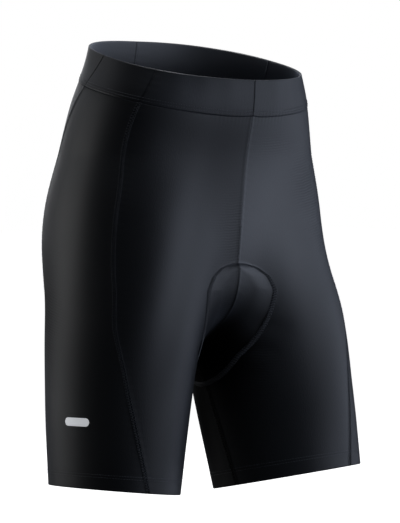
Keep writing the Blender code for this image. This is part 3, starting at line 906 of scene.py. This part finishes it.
def panel_grid(half, panel):
    """Rows and shares of a panel's points, from the waistband down to the hem."""
    steps = column_steps(panel)
    drops = hem_drops()
    top_share, low_share, hem_share = (
        panel_shares(panel, np.full(len(steps), row), steps) for row in GUESSED_ROWS)
    top = half.row_below_waist(BAND_HEIGHT + BAND_GAP, top_share)
    near_band = half.row_below_waist(BAND_HEIGHT + NEAR_BAND, top_share)
    hem = half.row_above_hem(drops[0], low_share)
    rows = [top + (near_band - top) * step for step in np.linspace(0, 1, 7)[:-1]]
    rows += [near_band + (1 - near_band) * step for step in np.linspace(0, 1, BODY_ROWS + 1)]
    rows += [1 + (hem - 1) * step for step in np.linspace(0, 1, LEG_ROWS + 1)[1:-1]]
    rows += [half.row_above_hem(drop, hem_share) for drop in drops]
    rows = np.array(rows)
    return rows, panel_shares(panel, rows, steps[None, :])


# %% From grid to panel
def draw_back_from_seams(points, directions, half, rows, shares):
    """Moves a piece's side edges away from its neighbours."""
    moved = points.copy()
    for column, inner in ((0, 1), (-1, -2)):
        into = points[:, inner] - points[:, column]
        away = unit(np.cross(np.gradient(points[:, column], axis=0), directions[:, column]))
        away *= np.sign(np.sum(away * into, axis=1, keepdims=True))
        away[on_middle_seam(rows[:, column], shares[:, column])] = (half.side, 0, 0)
        moved[:, column] += away * SEAM_GAP
    return moved


def fold_round_off(distance, thickness):
    """How far the face of folded cloth has curved in, this near to the fold."""
    radius = thickness / 2
    past = np.clip(radius - distance, 0, None)
    return radius - np.sqrt(np.clip(radius**2 - past**2, 0, None))


def quiet_seam(rows, panel):
    """1 where the seam in front lies flat and hardly shows, 0 elsewhere."""
    return (1 - between(rows, *QUIET_ROWS)) * (panel == "front")


def seam_relief(half, rows, shares, panel):
    """Groove at a seam and the low ridge beside it, and the distance to the nearest seam."""
    first = PANELS.index(panel)
    gap = np.minimum(gap_to_seam(half, rows, shares, first), gap_to_seam(half, rows, shares, first + 1))
    ridge = RIDGE_HEIGHT * (1 - smooth_step((gap - RIDGE_WIDTH * 0.6) / (RIDGE_WIDTH * 0.6)))
    groove = GROOVE_DEPTH * (1 - smooth_step(gap / GROOVE_WIDTH))
    return ridge - groove * (1 - 0.8 * quiet_seam(rows, panel)), gap


def cloth_piece(name, node, cloths, half, panel, rows, shares, outer, directions, thickness, gap):
    """Makes a piece of cloth from its outer grid: a wall with its notes and map, and hides its CAD node."""
    inner = outer - directions * np.maximum(thickness, THINNEST)[..., None]
    outer = draw_back_from_seams(outer, directions, half, rows, shares)
    inner = draw_back_from_seams(inner, directions, half, rows, shares)
    points, faces = wall(outer, inner, flip=half.side < 0)
    # The last note is the painted light and shade that lightens or darkens the knit.
    notes = {"seam_gap": np.tile(gap.ravel(), 2),
             "slack": np.tile(patches_at(SLACK, outer, half).ravel(), 2),
             "painted_light_and_shade": painted_light_note(outer, half)}
    # The left front takes the lighter copy of the knit, which is partly painted light.
    cloth = cloths[(panel, half.name) == NAP_TURNED_AND_PAINTED_LIGHTER]
    piece = new_piece(name, points, faces, cloth, notes, metre_map(outer))
    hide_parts(node)


def make_panel(half, panel):
    rows, shares = panel_grid(half, panel)
    outer, directions = cloth_at(half, rows, shares)
    relief, gap = seam_relief(half, rows, shares, panel)
    above = half.above_hem(rows, shares)
    round_off = fold_round_off(above, TURNED)
    outer = outer + directions * (relief - round_off)[..., None]
    thickness = np.where(above < HEM_HEIGHT, TURNED, CLOTH) - 2 * round_off
    gap = gap / (1 + SEAM_WIDENS * between(rows, *WIDE_ROWS)) + QUIET_SEAM * quiet_seam(rows, panel)
    cloth_piece(f"{panel}_panel_{half.name}", f"{panel}_{half.name}",
                (knit, knit_nap_turned_and_painted_lighter), half, panel, rows, shares, outer, directions, thickness, gap)


for half in halves.values():
    for panel in PANELS:
        make_panel(half, panel)

# %% [markdown]
# ## The waistband
# The waistband is a wide band of elastic knit folded over at the top, so its rim is round and its
# lower edge is sewn down on the panels. It is cut in six pieces that continue the six panels.

# %% Waistband pieces
BAND_THICK = 0.0022
BAND_EDGE = 0.0005        # how far the band's lower edge is pressed down by its stitching
BAND_EDGE_WIDTH = 0.0008
BAND_GROOVE = 0.0004
BAND_GROOVE_WIDTH = 0.0010
EDGE_ROWS = (0.0, 0.0003, 0.0008, 0.0016, 0.0028)  # rows near the band's lower edge
BAND_ROW = 0.12           # about the row at which the waistband ends
BAND_WAVES = [
    # half, share, width, height
    ("left", 0.10, 0.012, 0.0007),
    ("left", 0.19, 0.010, -0.0006),
    ("right", 0.09, 0.011, 0.0005),
    ("right", 0.22, 0.013, -0.0006),
    ("right", 0.64, 0.012, 0.0006),
    ("left", 0.72, 0.014, -0.0007),
]


def band_wave(half, down, share):
    """Slow waves down the band, strongest at its rim."""
    total = np.zeros_like(share)
    around = half.way_round(0.0)
    for name, middle, width, height in BAND_WAVES:
        if name == half.name:
            total += height * np.exp(-((share - middle) * around / width) ** 2)
    return total * (0.35 + 0.65 * smooth_step(1 - down / BAND_HEIGHT))


def make_band(half, panel):
    steps = column_steps(panel)
    fold = rounded_steps(BAND_THICK)
    lower = BAND_HEIGHT - BAND_GAP - np.array(EDGE_ROWS)[::-1]
    rows, shares = [], []
    for drop in np.concatenate([fold, np.linspace(0.0024, lower[0], 18), lower[1:]]):
        share = panel_shares(panel, np.full(len(steps), BAND_ROW * drop / BAND_HEIGHT), steps)
        rows.append(half.row_below_waist(drop, share))
        shares.append(panel_shares(panel, rows[-1], steps))
    rows, shares = np.array(rows), np.array(shares)
    outer, directions = cloth_at(half, rows, shares)
    down = half.below_waist(rows, shares)
    _, gap = seam_relief(half, rows, shares, panel)
    groove = BAND_GROOVE * (1 - smooth_step(gap / BAND_GROOVE_WIDTH))
    round_off = fold_round_off(down, BAND_THICK)
    edge = BAND_EDGE * (1 - smooth_step((BAND_HEIGHT - down) / BAND_EDGE_WIDTH))
    lift = BAND_RAISE + band_wave(half, down, shares) - groove - round_off - edge
    cloth_piece(f"band_{panel}_{half.name}", f"waistband_{panel}_{half.name}",
                (band_knit, band_nap_turned_and_painted_lighter), half, panel, rows, shares,
                outer + directions * lift[..., None], directions, BAND_THICK - 2 * round_off - edge, gap)


for half in halves.values():
    for panel in PANELS:
        make_band(half, panel)

# %% [markdown]
# ## The seat pad
# The pad is moulded foam faced with fleece, about 7 mm thick, thin at its sewn edge, with a relief
# down its middle and sewn channels at its sides. It could be inflated by a cloth simulation, but a
# moulded pad keeps its shape, so its faces are worked out as a grid. The grid's lines start at
# the middle seam and walk out over the cloth until they reach the outline.

# %% Walks over the cloth
WALK_STEP = 0.0025
WALK_STEPS = 34
PAD_STATIONS = 130
PAD_ACROSS = 26


def walk_out(start, side):
    """Lines of points over the cloth, each going straight away from the middle seam."""
    points, directions = settle(start, True)
    heading = np.zeros_like(points)
    heading[:, 0] = side
    lines = [points]
    for _ in range(WALK_STEPS):
        heading = unit(heading - directions * np.sum(heading * directions, axis=1, keepdims=True))
        points, directions = settle(points + heading * WALK_STEP, False)
        lines.append(points)
    return np.stack(lines, axis=1)


def first_crossing(inside, level):
    """Walked distance at which each line comes down to a depth inside the outline."""
    past = np.argmax(inside < level, axis=1)
    lines = np.arange(len(inside))
    before = inside[lines, np.maximum(past - 1, 0)]
    after = inside[lines, past]
    share = np.where(past > 0, (before - level) / np.maximum(before - after, 1e-9), 0)
    return (np.maximum(past - 1, 0) + share) * WALK_STEP


def at_walked(lines, distance):
    """Points at given walked distances along each line, as a grid."""
    steps = np.clip(distance / WALK_STEP, 0, WALK_STEPS - 0.001)
    i = steps.astype(int)
    s = (steps - i)[..., None]
    which = np.arange(len(lines))[:, None]
    return lines[which, i] * (1 - s) + lines[which, i + 1] * s


turn = (1 - np.cos(np.linspace(0.02, pi - 0.02, PAD_STATIONS))) / 2
station_behind = PAD[0][0] + (PAD[-1][0] - PAD[0][0]) * turn
station_points = np.stack([np.interp(station_behind, behind_crotch, rise_line[:, axis])
                           for axis in range(3)], axis=-1)
walks = {side: walk_out(station_points, side) for side in SIDES.values()}
walk_inside = {side: inside_pad(lines) for side, lines in walks.items()}
print("pad half width at its widest:",
      f"{max(first_crossing(walk_inside[1], 0.0)) * 1000:.0f} mm along the cloth")

# %% Pad shape
PAD_SET_BACK = 0.0024     # from the panel's outside to the pad, as in the CAD
PAD_EDGE = 0.0015
PAD_THICK = 0.0073
CHANNEL_SHARE = 0.52      # where the side channels run, as a share of the half width
CHANNEL_DEPTH = 0.0026
CHANNEL_WIDTH = 0.0019
CHANNEL_FADE = 0.002      # over what length a channel across the pad ends
RELIEF_DEPTH = 0.0024
RELIEF_WIDTH = 0.0080
RELIEF_ENDS = (-0.070, 0.120)
RELIEF_FADE = 0.012
CROSS_CHANNELS = (-0.078, 0.128)  # how far behind the crotch point the pad has them


def pad_grid():
    """Points on the cloth under the pad, directions, depth inside, and signed distance across."""
    grids = []
    for side in (-1, 1):
        edge = first_crossing(walk_inside[side], 0.0)
        share = np.linspace(0, 1, PAD_ACROSS + 1)
        distance = edge[:, None] * share[None, :]
        points = at_walked(walks[side], distance)
        if side < 0:
            points, distance = points[:, :0:-1], -distance[:, :0:-1]
        grids.append((points, distance, edge))
    points = np.concatenate([grids[0][0], grids[1][0]], axis=1)
    distance = np.concatenate([grids[0][1], grids[1][1]], axis=1)
    half_width = np.where(distance < 0, grids[0][2][:, None], grids[1][2][:, None])
    on_middle = np.zeros(distance.shape, bool)
    on_middle[:, PAD_ACROSS] = True
    points, directions = settle(points, on_middle)
    return points, directions, distance, half_width


def pad_depth(inside, distance, half_width):
    """Thickness of the pad, less where a channel or the relief runs."""
    depth = PAD_EDGE + (PAD_THICK - PAD_EDGE) * smooth_step(inside / PAD_SLOPE)
    behind = station_behind[:, None]
    across = np.abs(distance)
    channel = np.exp(-((across - CHANNEL_SHARE * half_width) / CHANNEL_WIDTH) ** 2)
    for place in CROSS_CHANNELS:
        within = 1 - smooth_step((across - CHANNEL_SHARE * half_width) / CHANNEL_FADE)
        channel = np.maximum(channel, within * np.exp(-((behind - place) / CHANNEL_WIDTH) ** 2))
    relief = np.exp(-(across / RELIEF_WIDTH) ** 4)
    relief *= smooth_step((behind - RELIEF_ENDS[0]) / RELIEF_FADE)
    relief *= smooth_step((RELIEF_ENDS[1] - behind) / RELIEF_FADE)
    full = smooth_step(inside / PAD_SLOPE)
    return depth - full * (CHANNEL_DEPTH * channel + RELIEF_DEPTH * relief)


def fine_pattern(name, kind, pattern, dark, light, relief=None, **settings):
    """A material that varies between two shades in a fine pattern, which may also raise it."""
    material, tree, surface = new_material(name, settings)
    place = add_node(tree, "ShaderNodeTexCoord")
    grain = add_node(tree, kind, {"Vector": place.outputs["Object"], **pattern})
    height = grain.outputs["Distance" if kind == "ShaderNodeTexVoronoi" else "Fac"]
    tree.links.new(blend(tree, height, dark, light), surface.inputs["Base Color"])
    if relief:
        tree.links.new(bump(tree, height, *relief), surface.inputs["Normal"])
    return material


fleece = fine_pattern(
    "brushed_polyester_fleece", "ShaderNodeTexNoise", {"Scale": 700.0, "Detail": 3.0},
    linear("#25272b"), linear("#3a3d43"), relief=(0.0004, 0.8),
    **{"Roughness": 0.95, "Sheen Weight": 0.35, "Sheen Roughness": 0.6})


def make_pad():
    points, directions, distance, half_width = pad_grid()
    inside = inside_pad(points)
    swelling = PAD_BULGE * smooth_step(inside / PAD_SLOPE)
    near = points + directions * (swelling - PAD_SET_BACK)[..., None]
    far = near - directions * pad_depth(inside, distance, half_width)[..., None]
    corners, faces = wall(near, far, flip=False)
    pad = new_piece("seat_pad_fleece", corners, faces, fleece, uv=metre_map(near))
    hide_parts("seat_pad")
    print(f"pad: {len(faces)} faces")


make_pad()

# %% [markdown]
# ## Sewing thread
# The panels are joined by flat-locked seams: two rows of needle thread with a looper thread that
# crosses between them. The pad is held by a cover stitch of the same kind, and the waistband and
# hems by two plain rows. Each stitch is a short thread whose ends dip into the cloth. Thousands of
# them are made as one joined mesh for each seam. Real thread is 0.25 mm thick and is drawn at up
# to nearly twice that, so that it shows from a step away.

# %% One stitch, and many
THREAD = 0.00022          # half the drawn thickness of the thread
THREAD_SIDES = 5
STITCH = 0.0028           # from one stitch to the next
NEEDLE_GAP = 0.10         # share of a stitch that is left free at each of its ends


def stitch_template():
    """Points of one stitch along x, in stitch lengths and thread radii, and its triangles."""
    turns = np.arange(THREAD_SIDES) * 2 * pi / THREAD_SIDES
    ring = [(cos(turn), sin(turn) + 0.35) for turn in turns]
    points = [(-0.5, 0.0, -1.4)]
    points += [(-0.30, y, z) for y, z in ring]
    points += [(0.30, y, z) for y, z in ring]
    points.append((0.5, 0.0, -1.4))
    faces = []
    last = len(points) - 1
    for k in range(THREAD_SIDES):
        a, b = 1 + k, 1 + (k + 1) % THREAD_SIDES
        c, d = b + THREAD_SIDES, a + THREAD_SIDES
        faces += [(0, b, a), (a, b, c), (a, c, d), (d, c, last)]
    return np.array(points), np.array(faces)


def along_path(points, directions, shares):
    """Points and directions at shares of a path's length."""
    return place_along(points, shares), unit(place_along(points, shares, directions))


def stitch_count(points):
    return max(2, round(length_along(points)[-1] / STITCH))


def plain_row(points, directions):
    """Starts, ends and directions of a row of stitches with small gaps."""
    count = stitch_count(points)
    places, out = along_path(points, directions, (np.arange(2 * count) // 2 + np.where(
        np.arange(2 * count) % 2, 1 - NEEDLE_GAP, NEEDLE_GAP)) / count)
    return places[0::2], places[1::2], unit(out[0::2] + out[1::2])


def crossing_row(points_a, points_b, directions):
    """Looper thread that crosses from one row of stitches to the other and back."""
    count = stitch_count(points_a)
    shares = (np.arange(2 * count + 1)) / (2 * count)
    side_a, out = along_path(points_a, directions, shares)
    side_b, _ = along_path(points_b, directions, shares)
    zigzag = np.where((np.arange(len(shares)) % 2 == 0)[:, None], side_a, side_b)
    return zigzag[:-1], zigzag[1:], unit(out[:-1] + out[1:])


def sew(name, rows, material, radius=THREAD):
    """Makes all stitches of a seam as one mesh."""
    start, end, out = (np.concatenate([row[k] for row in rows]) for k in range(3))
    template, triangles = stitch_template()
    along = end - start
    across = unit(np.cross(out, along))
    middle = (start + end) / 2
    points = (middle[:, None, :] + template[None, :, :1] * along[:, None, :]
              + template[None, :, 1:2] * across[:, None, :] * radius
              + template[None, :, 2:] * out[:, None, :] * radius)
    faces = triangles[None, :, :] + (np.arange(len(points)) * len(template))[:, None, None]
    piece = new_piece(name, points.reshape(-1, 3), faces.reshape(-1, 3), material)
    print(f"{name}: {len(points)} stitches, {len(points) * len(triangles)} triangles")
    return piece


# %% [markdown]
# Textured thread is matt. It is nearly black in the middle seam and the inseams, and greyer in the
# side seams, the hems, the waistband and round the pad, where it shows as fine light dots.

# %% Thread materials
def polyester_thread(name, colour):
    return fine_pattern(name, "ShaderNodeTexNoise", {"Scale": 1800.0, "Detail": 1.0},
                        shade_of(colour, 0.7, 0.7, 0.7), shade_of(colour, 1.3, 1.3, 1.3),
                        **{"Roughness": 0.7, "Sheen Weight": 0.1})


black_thread = polyester_thread("black_polyester_thread", "#0b0c0d")
grey_thread = polyester_thread("grey_polyester_thread", "#5e6269")
looper_thread = polyester_thread("textured_polyamide_looper_thread", "#17191c")
cover_thread = polyester_thread("charcoal_polyester_thread", "#6b6f76")
print("threads:", black_thread.name, grey_thread.name, looper_thread.name, cover_thread.name)

# %% Seams that join the panels
SEAM_HALF_WIDTH = 0.0021
MIDDLE_HALF_WIDTH = 0.0013
SEAM_SAMPLES = 700
SIDE_THREAD = 0.00014     # half the thickness of the thread, here and in the seams below
FRONT_THREAD = 0.00013
BACK_THREAD = 0.00016
COVER_THREAD = 0.00018    # also in the hems


def on_cloth(half, row, share, lift):
    """A path over the cloth, a little above it, and the directions straight out."""
    points, directions = cloth_at(half, row, share)
    return points + directions * lift, directions


def flat_lock(path_a, path_b):
    """Two needle rows and the looper row that crosses between them."""
    return [plain_row(*path_a), plain_row(*path_b), crossing_row(path_a[0], path_b[0], path_a[1])]


def seam_rows(half, seam, first, last):
    row = np.linspace(first, last, SEAM_SAMPLES)
    aside = SEAM_HALF_WIDTH / half.way_round(row)
    middle = seam_share(seam, row)
    return flat_lock(*(on_cloth(half, row, middle + side * aside, RIDGE_HEIGHT + 0.00005)
                       for side in (-1, 1)))


def band_row(half):
    return BAND_HEIGHT / half.trunk_length.mean()


def hem_end(half, seam):
    return float(half.row_above_hem(0.0030, seam_share(seam, np.array([2.0]))[0]))


for half in halves.values():
    for seam, name in ((1, "front_side"), (2, "back_side")):
        rows = seam_rows(half, seam, band_row(half), hem_end(half, seam))
        sew(f"{name}_seam_stitches_{half.name}", rows, cover_thread, SIDE_THREAD)


# %% Seams in the middle and between the legs
def middle_rows(row_from, row_to, share):
    """The same stitch across the middle seam, with a needle row in each half."""
    row = np.linspace(row_from, row_to, SEAM_SAMPLES)
    paths = []
    for half in halves.values():
        aside = MIDDLE_HALF_WIDTH / half.way_round(row)
        paths.append(on_cloth(half, row, np.abs(share - aside), RIDGE_HEIGHT))
    return flat_lock(*paths)


front_rows = middle_rows(0.48, 0.992, share=0.0)
back_rows = middle_rows(0.14, 0.992, share=1.0)
sew("centre_front_seam_stitches", front_rows, black_thread, FRONT_THREAD)
sew("centre_back_seam_stitches", back_rows, black_thread, BACK_THREAD)


def inseam_rows(half):
    row = np.linspace(1.01, hem_end(half, 0), SEAM_SAMPLES)
    aside = SEAM_HALF_WIDTH / half.way_round(row)
    return flat_lock(*(on_cloth(half, row, np.abs(share - aside), RIDGE_HEIGHT) for share in (0.0, 1.0)))


for half in halves.values():
    sew(f"inseam_stitches_{half.name}", inseam_rows(half), black_thread)

# %% Waistband and hem rows
ROUND_SAMPLES = 1400
BAND_ROWS = (0.0030, 0.0058)  # distances of the two rows from the band's lower edge
HEM_ROWS = (0.0012, 0.0040)   # and from the turned hem's upper edge
ROW_LIFT = 0.0001         # how high the stitches stand off the cloth


def round_row(half, drop, from_hem, lift):
    """A row of stitches round a half at a distance below the waist or above the hem."""
    share = np.linspace(0.002, 0.998, ROUND_SAMPLES)
    row = half.row_above_hem(drop, share) if from_hem else half.row_below_waist(drop, share)
    return plain_row(*on_cloth(half, row, share, lift))


for half in halves.values():
    band = [round_row(half, BAND_HEIGHT - distance, False, BAND_RAISE + ROW_LIFT)
            for distance in BAND_ROWS]
    sew(f"waistband_stitches_{half.name}", band, grey_thread)
    hem = [round_row(half, HEM_HEIGHT - distance, True, ROW_LIFT) for distance in HEM_ROWS]
    sew(f"hem_stitches_{half.name}", hem, cover_thread, COVER_THREAD)

# %% [markdown]
# ## The pad's cover stitch
# From outside, the pad's outline is a band of thread nearly 5 mm wide. A thin dark bed of looper
# thread lies on the cloth, with two lighter needle rows and a zigzag over it.

# %% Cover stitch
COVER_ROWS = (0.0000, 0.0046)  # how far inside the pad's outline the two rows run
BED_LIFT = 0.00022
BED_CROWN = 0.00012
BED_THICK = 0.0006
COVER_LIFT = 0.00032


def outline_path(level):
    """Closed path round the pad on the cloth, at a depth inside its outline."""
    sides = {}
    for side in (-1, 1):
        distance = first_crossing(walk_inside[side], level)
        inside_here = walk_inside[side][:, 0] > level
        sides[side] = at_walked(walks[side], distance[:, None])[:, 0][inside_here]
    loop = np.concatenate([sides[1], sides[-1][::-1], sides[1][:1]])
    even = place_along(loop, np.linspace(0, 1, 901))
    points, directions = settle(even, False)
    lift = pad_lift(inside_pad(points))
    return points + directions * lift[:, None], directions


def cover_bed(paths, lift):
    """A low cushion of looper thread between the two rows."""
    outer, inner = paths
    share = np.linspace(0, 1, 5)
    grid = outer[0][:, None, :] * (1 - share[None, :, None]) + inner[0][:, None, :] * share[None, :, None]
    directions = unit(outer[1] + inner[1])
    crown = 4 * share * (1 - share) * BED_CROWN
    top = grid + directions[:, None, :] * (lift + crown)[None, :, None]
    bottom = top - directions[:, None, :] * BED_THICK
    points, faces = wall(top, bottom, flip=False)
    return new_piece("pad_cover_stitch_bed", points, faces, looper_thread)


cover_paths = [outline_path(level) for level in COVER_ROWS]
cover_bed(cover_paths, BED_LIFT)
cover = flat_lock(*((points + out * COVER_LIFT, out) for points, out in cover_paths))
sew("pad_cover_stitches", cover, cover_thread, COVER_THREAD)

# %% [markdown]
# ## Reflective bar
# Low on the right thigh sits a plain reflective bar with round ends, of heat-applied film 0.15 mm
# thick. Its tiny glass beads give it an even light grey, and a painted glow stands in for the light
# they send straight back. It is a grid bent over the cloth, so that it follows the thigh.

# %% Reflective bar
BAR_HALF = "right"
BAR_SHARE = 0.453
BAR_ABOVE_HEM = 0.069
BAR_LENGTH = 0.031
BAR_WIDTH = 0.0085
BAR_THICK = 0.00015
BAR_SEAT = 0.0001         # how far the bar reaches into the cloth and its face stands off it
PAINTED_BEAD_GLOW = 0.55          # painted glow: the film emits light to stand in for the light its beads send straight back
BAR_ACROSS = 40
BAR_DOWN = 14


# The film's emission is painted light, a glow standing in for the light its beads send back.
film = fine_pattern(
    "glass_bead_reflective_film", "ShaderNodeTexVoronoi", {"Scale": 2600.0},
    linear("#eceef2"), linear("#cfd2d8"), relief=(0.0001, 0.3),
    **{"Roughness": 0.38, "Metallic": 0.10,
       "Emission Color": linear("#d4d7db"), "Emission Strength": PAINTED_BEAD_GLOW})


def make_bar():
    half = halves[BAR_HALF]
    along = np.linspace(-1, 1, BAR_ACROSS)
    radius, straight = BAR_WIDTH / 2, BAR_LENGTH / 2 - BAR_WIDTH / 2
    x = along * BAR_LENGTH / 2
    over = np.clip(np.abs(x) - straight, 0, radius)
    height = np.sqrt(np.maximum(radius**2 - over**2, (0.04 * radius) ** 2))
    y = np.linspace(-1, 1, BAR_DOWN)[:, None] * height[None, :]
    row = half.row_above_hem(BAR_ABOVE_HEM, BAR_SHARE)
    share = BAR_SHARE + np.broadcast_to(x, y.shape) / half.way_round(row)
    rows = half.row_above_hem(BAR_ABOVE_HEM - y, share)
    points, directions = cloth_at(half, rows, share)
    top = points + directions * (BAR_THICK + BAR_SEAT)
    bottom = points - directions * BAR_SEAT
    corners, faces = wall(top, bottom, flip=half.side < 0)
    print(f"reflective bar: {BAR_LENGTH * 1000:.0f} x {BAR_WIDTH * 1000:.1f} mm")
    return new_piece("reflective_bar", corners, faces, film)


make_bar()

# %% [markdown]
# ## Camera
# The picture is taken from a little to the right of the wearer's front, level with the hips and
# from well back. The lens shift only moves the frame sideways.

# %% Camera
PICTURE = (400, 523)      # pixels
CAMERA_TURN = radians(-43)
CAMERA_DISTANCE = 3.0
CAMERA_HEIGHT = -0.10
TARGET = Vector((0.0, 0.0, -0.212))
PIXEL = 0.00105           # metres to a pixel at the target
SHIFT_PIXELS = 6
SENSOR = 36.0


def add_camera():
    data = bpy.data.cameras.new("camera")
    camera = bpy.data.objects.new("camera", data)
    bpy.context.collection.objects.link(camera)
    camera.location = (sin(CAMERA_TURN) * CAMERA_DISTANCE, -cos(CAMERA_TURN) * CAMERA_DISTANCE, CAMERA_HEIGHT)
    look = TARGET - camera.location
    camera.rotation_euler = look.to_track_quat("-Z", "Y").to_euler()
    data.sensor_width = SENSOR
    data.sensor_fit = "AUTO"
    data.lens = look.length / PIXEL * SENSOR / max(PICTURE)
    data.shift_x = SHIFT_PIXELS / max(PICTURE)
    data.clip_end = 60
    bpy.context.scene.camera = camera
    print(f"lens {data.lens:.1f} mm at {look.length:.2f} m")


add_camera()

# %% [markdown]
# ## Floor, backdrop and light
# Large soft lights do the modelling: a broad one to the wearer's left front, a weaker one beside
# it, one from behind the other side and faint ones from above, of which one looks down into the
# waist. The one at the back lights what is only seen from behind. Between them a dark band runs
# down the thigh, which is what gives dark satin its shape.

# %% Stage
FLOOR_HEIGHT = -0.60
FLOOR_SIZE = 24.0


white_paper, _, _ = new_material("white_studio_paper", {
    "Base Color": linear("#f4f4f4"), "Roughness": 0.9,
    "Emission Color": (1, 1, 1, 1), "Emission Strength": 1.0})


def add_floor():
    half_size = FLOOR_SIZE / 2
    mesh = bpy.data.meshes.new("floor")
    corners = [(-half_size, -half_size, FLOOR_HEIGHT), (half_size, -half_size, FLOOR_HEIGHT),
               (half_size, half_size, FLOOR_HEIGHT), (-half_size, half_size, FLOOR_HEIGHT)]
    mesh.from_pydata(corners, [], [(0, 1, 2, 3)])
    mesh.materials.append(white_paper)
    floor = bpy.data.objects.new("floor", mesh)
    bpy.context.collection.objects.link(floor)
    floor.visible_diffuse = False
    floor.visible_glossy = False


def add_light(name, azimuth, elevation, distance, size, power, colour="#ffffff"):
    """A soft box that faces the middle of the garment. Azimuth 0 is in front, 90 the wearer's left."""
    data = bpy.data.lights.new(name, "AREA")
    data.shape = "RECTANGLE"
    data.size, data.size_y = size
    data.energy = power
    data.color = linear(colour)[:3]
    light = bpy.data.objects.new(name, data)
    bpy.context.collection.objects.link(light)
    turn, rise = radians(azimuth), radians(elevation)
    light.location = TARGET + Vector((sin(turn) * cos(rise), -cos(turn) * cos(rise), sin(rise))) * distance
    light.rotation_euler = (TARGET - light.location).to_track_quat("-Z", "Y").to_euler()
    return light


def add_world():
    world = bpy.data.worlds.new("studio")
    bpy.context.scene.world = world
    world.use_nodes = True
    tree = world.node_tree
    background = tree.nodes["Background"]
    path = add_node(tree, "ShaderNodeLightPath")
    level = add_node(tree, "ShaderNodeMapRange",
                     {"Value": path.outputs["Is Camera Ray"], "To Min": 0.02, "To Max": 1.0})
    tree.links.new(level.outputs["Result"], background.inputs["Strength"])
    background.inputs["Color"].default_value = (1, 1, 1, 1)


add_floor()
add_world()
COOL = "#e2ebff"          # a slightly cool daylight tube
add_light("key", 36, 4, 2.0, (2.2, 1.4), 14, COOL)
add_light("side", 80, 0, 2.0, (0.8, 1.4), 4.2, COOL)
add_light("rim", -143, 6, 2.0, (1.4, 1.4), 8.4)
add_light("top", -60, 62, 2.0, (0.9, 0.9), 2.0, COOL)
add_light("back", 150, 18, 2.0, (1.6, 1.2), 9)
add_light("waist", 0, 89, 0.62, (0.12, 0.12), 1.2)
bpy.context.scene.view_settings.view_transform = "Standard"
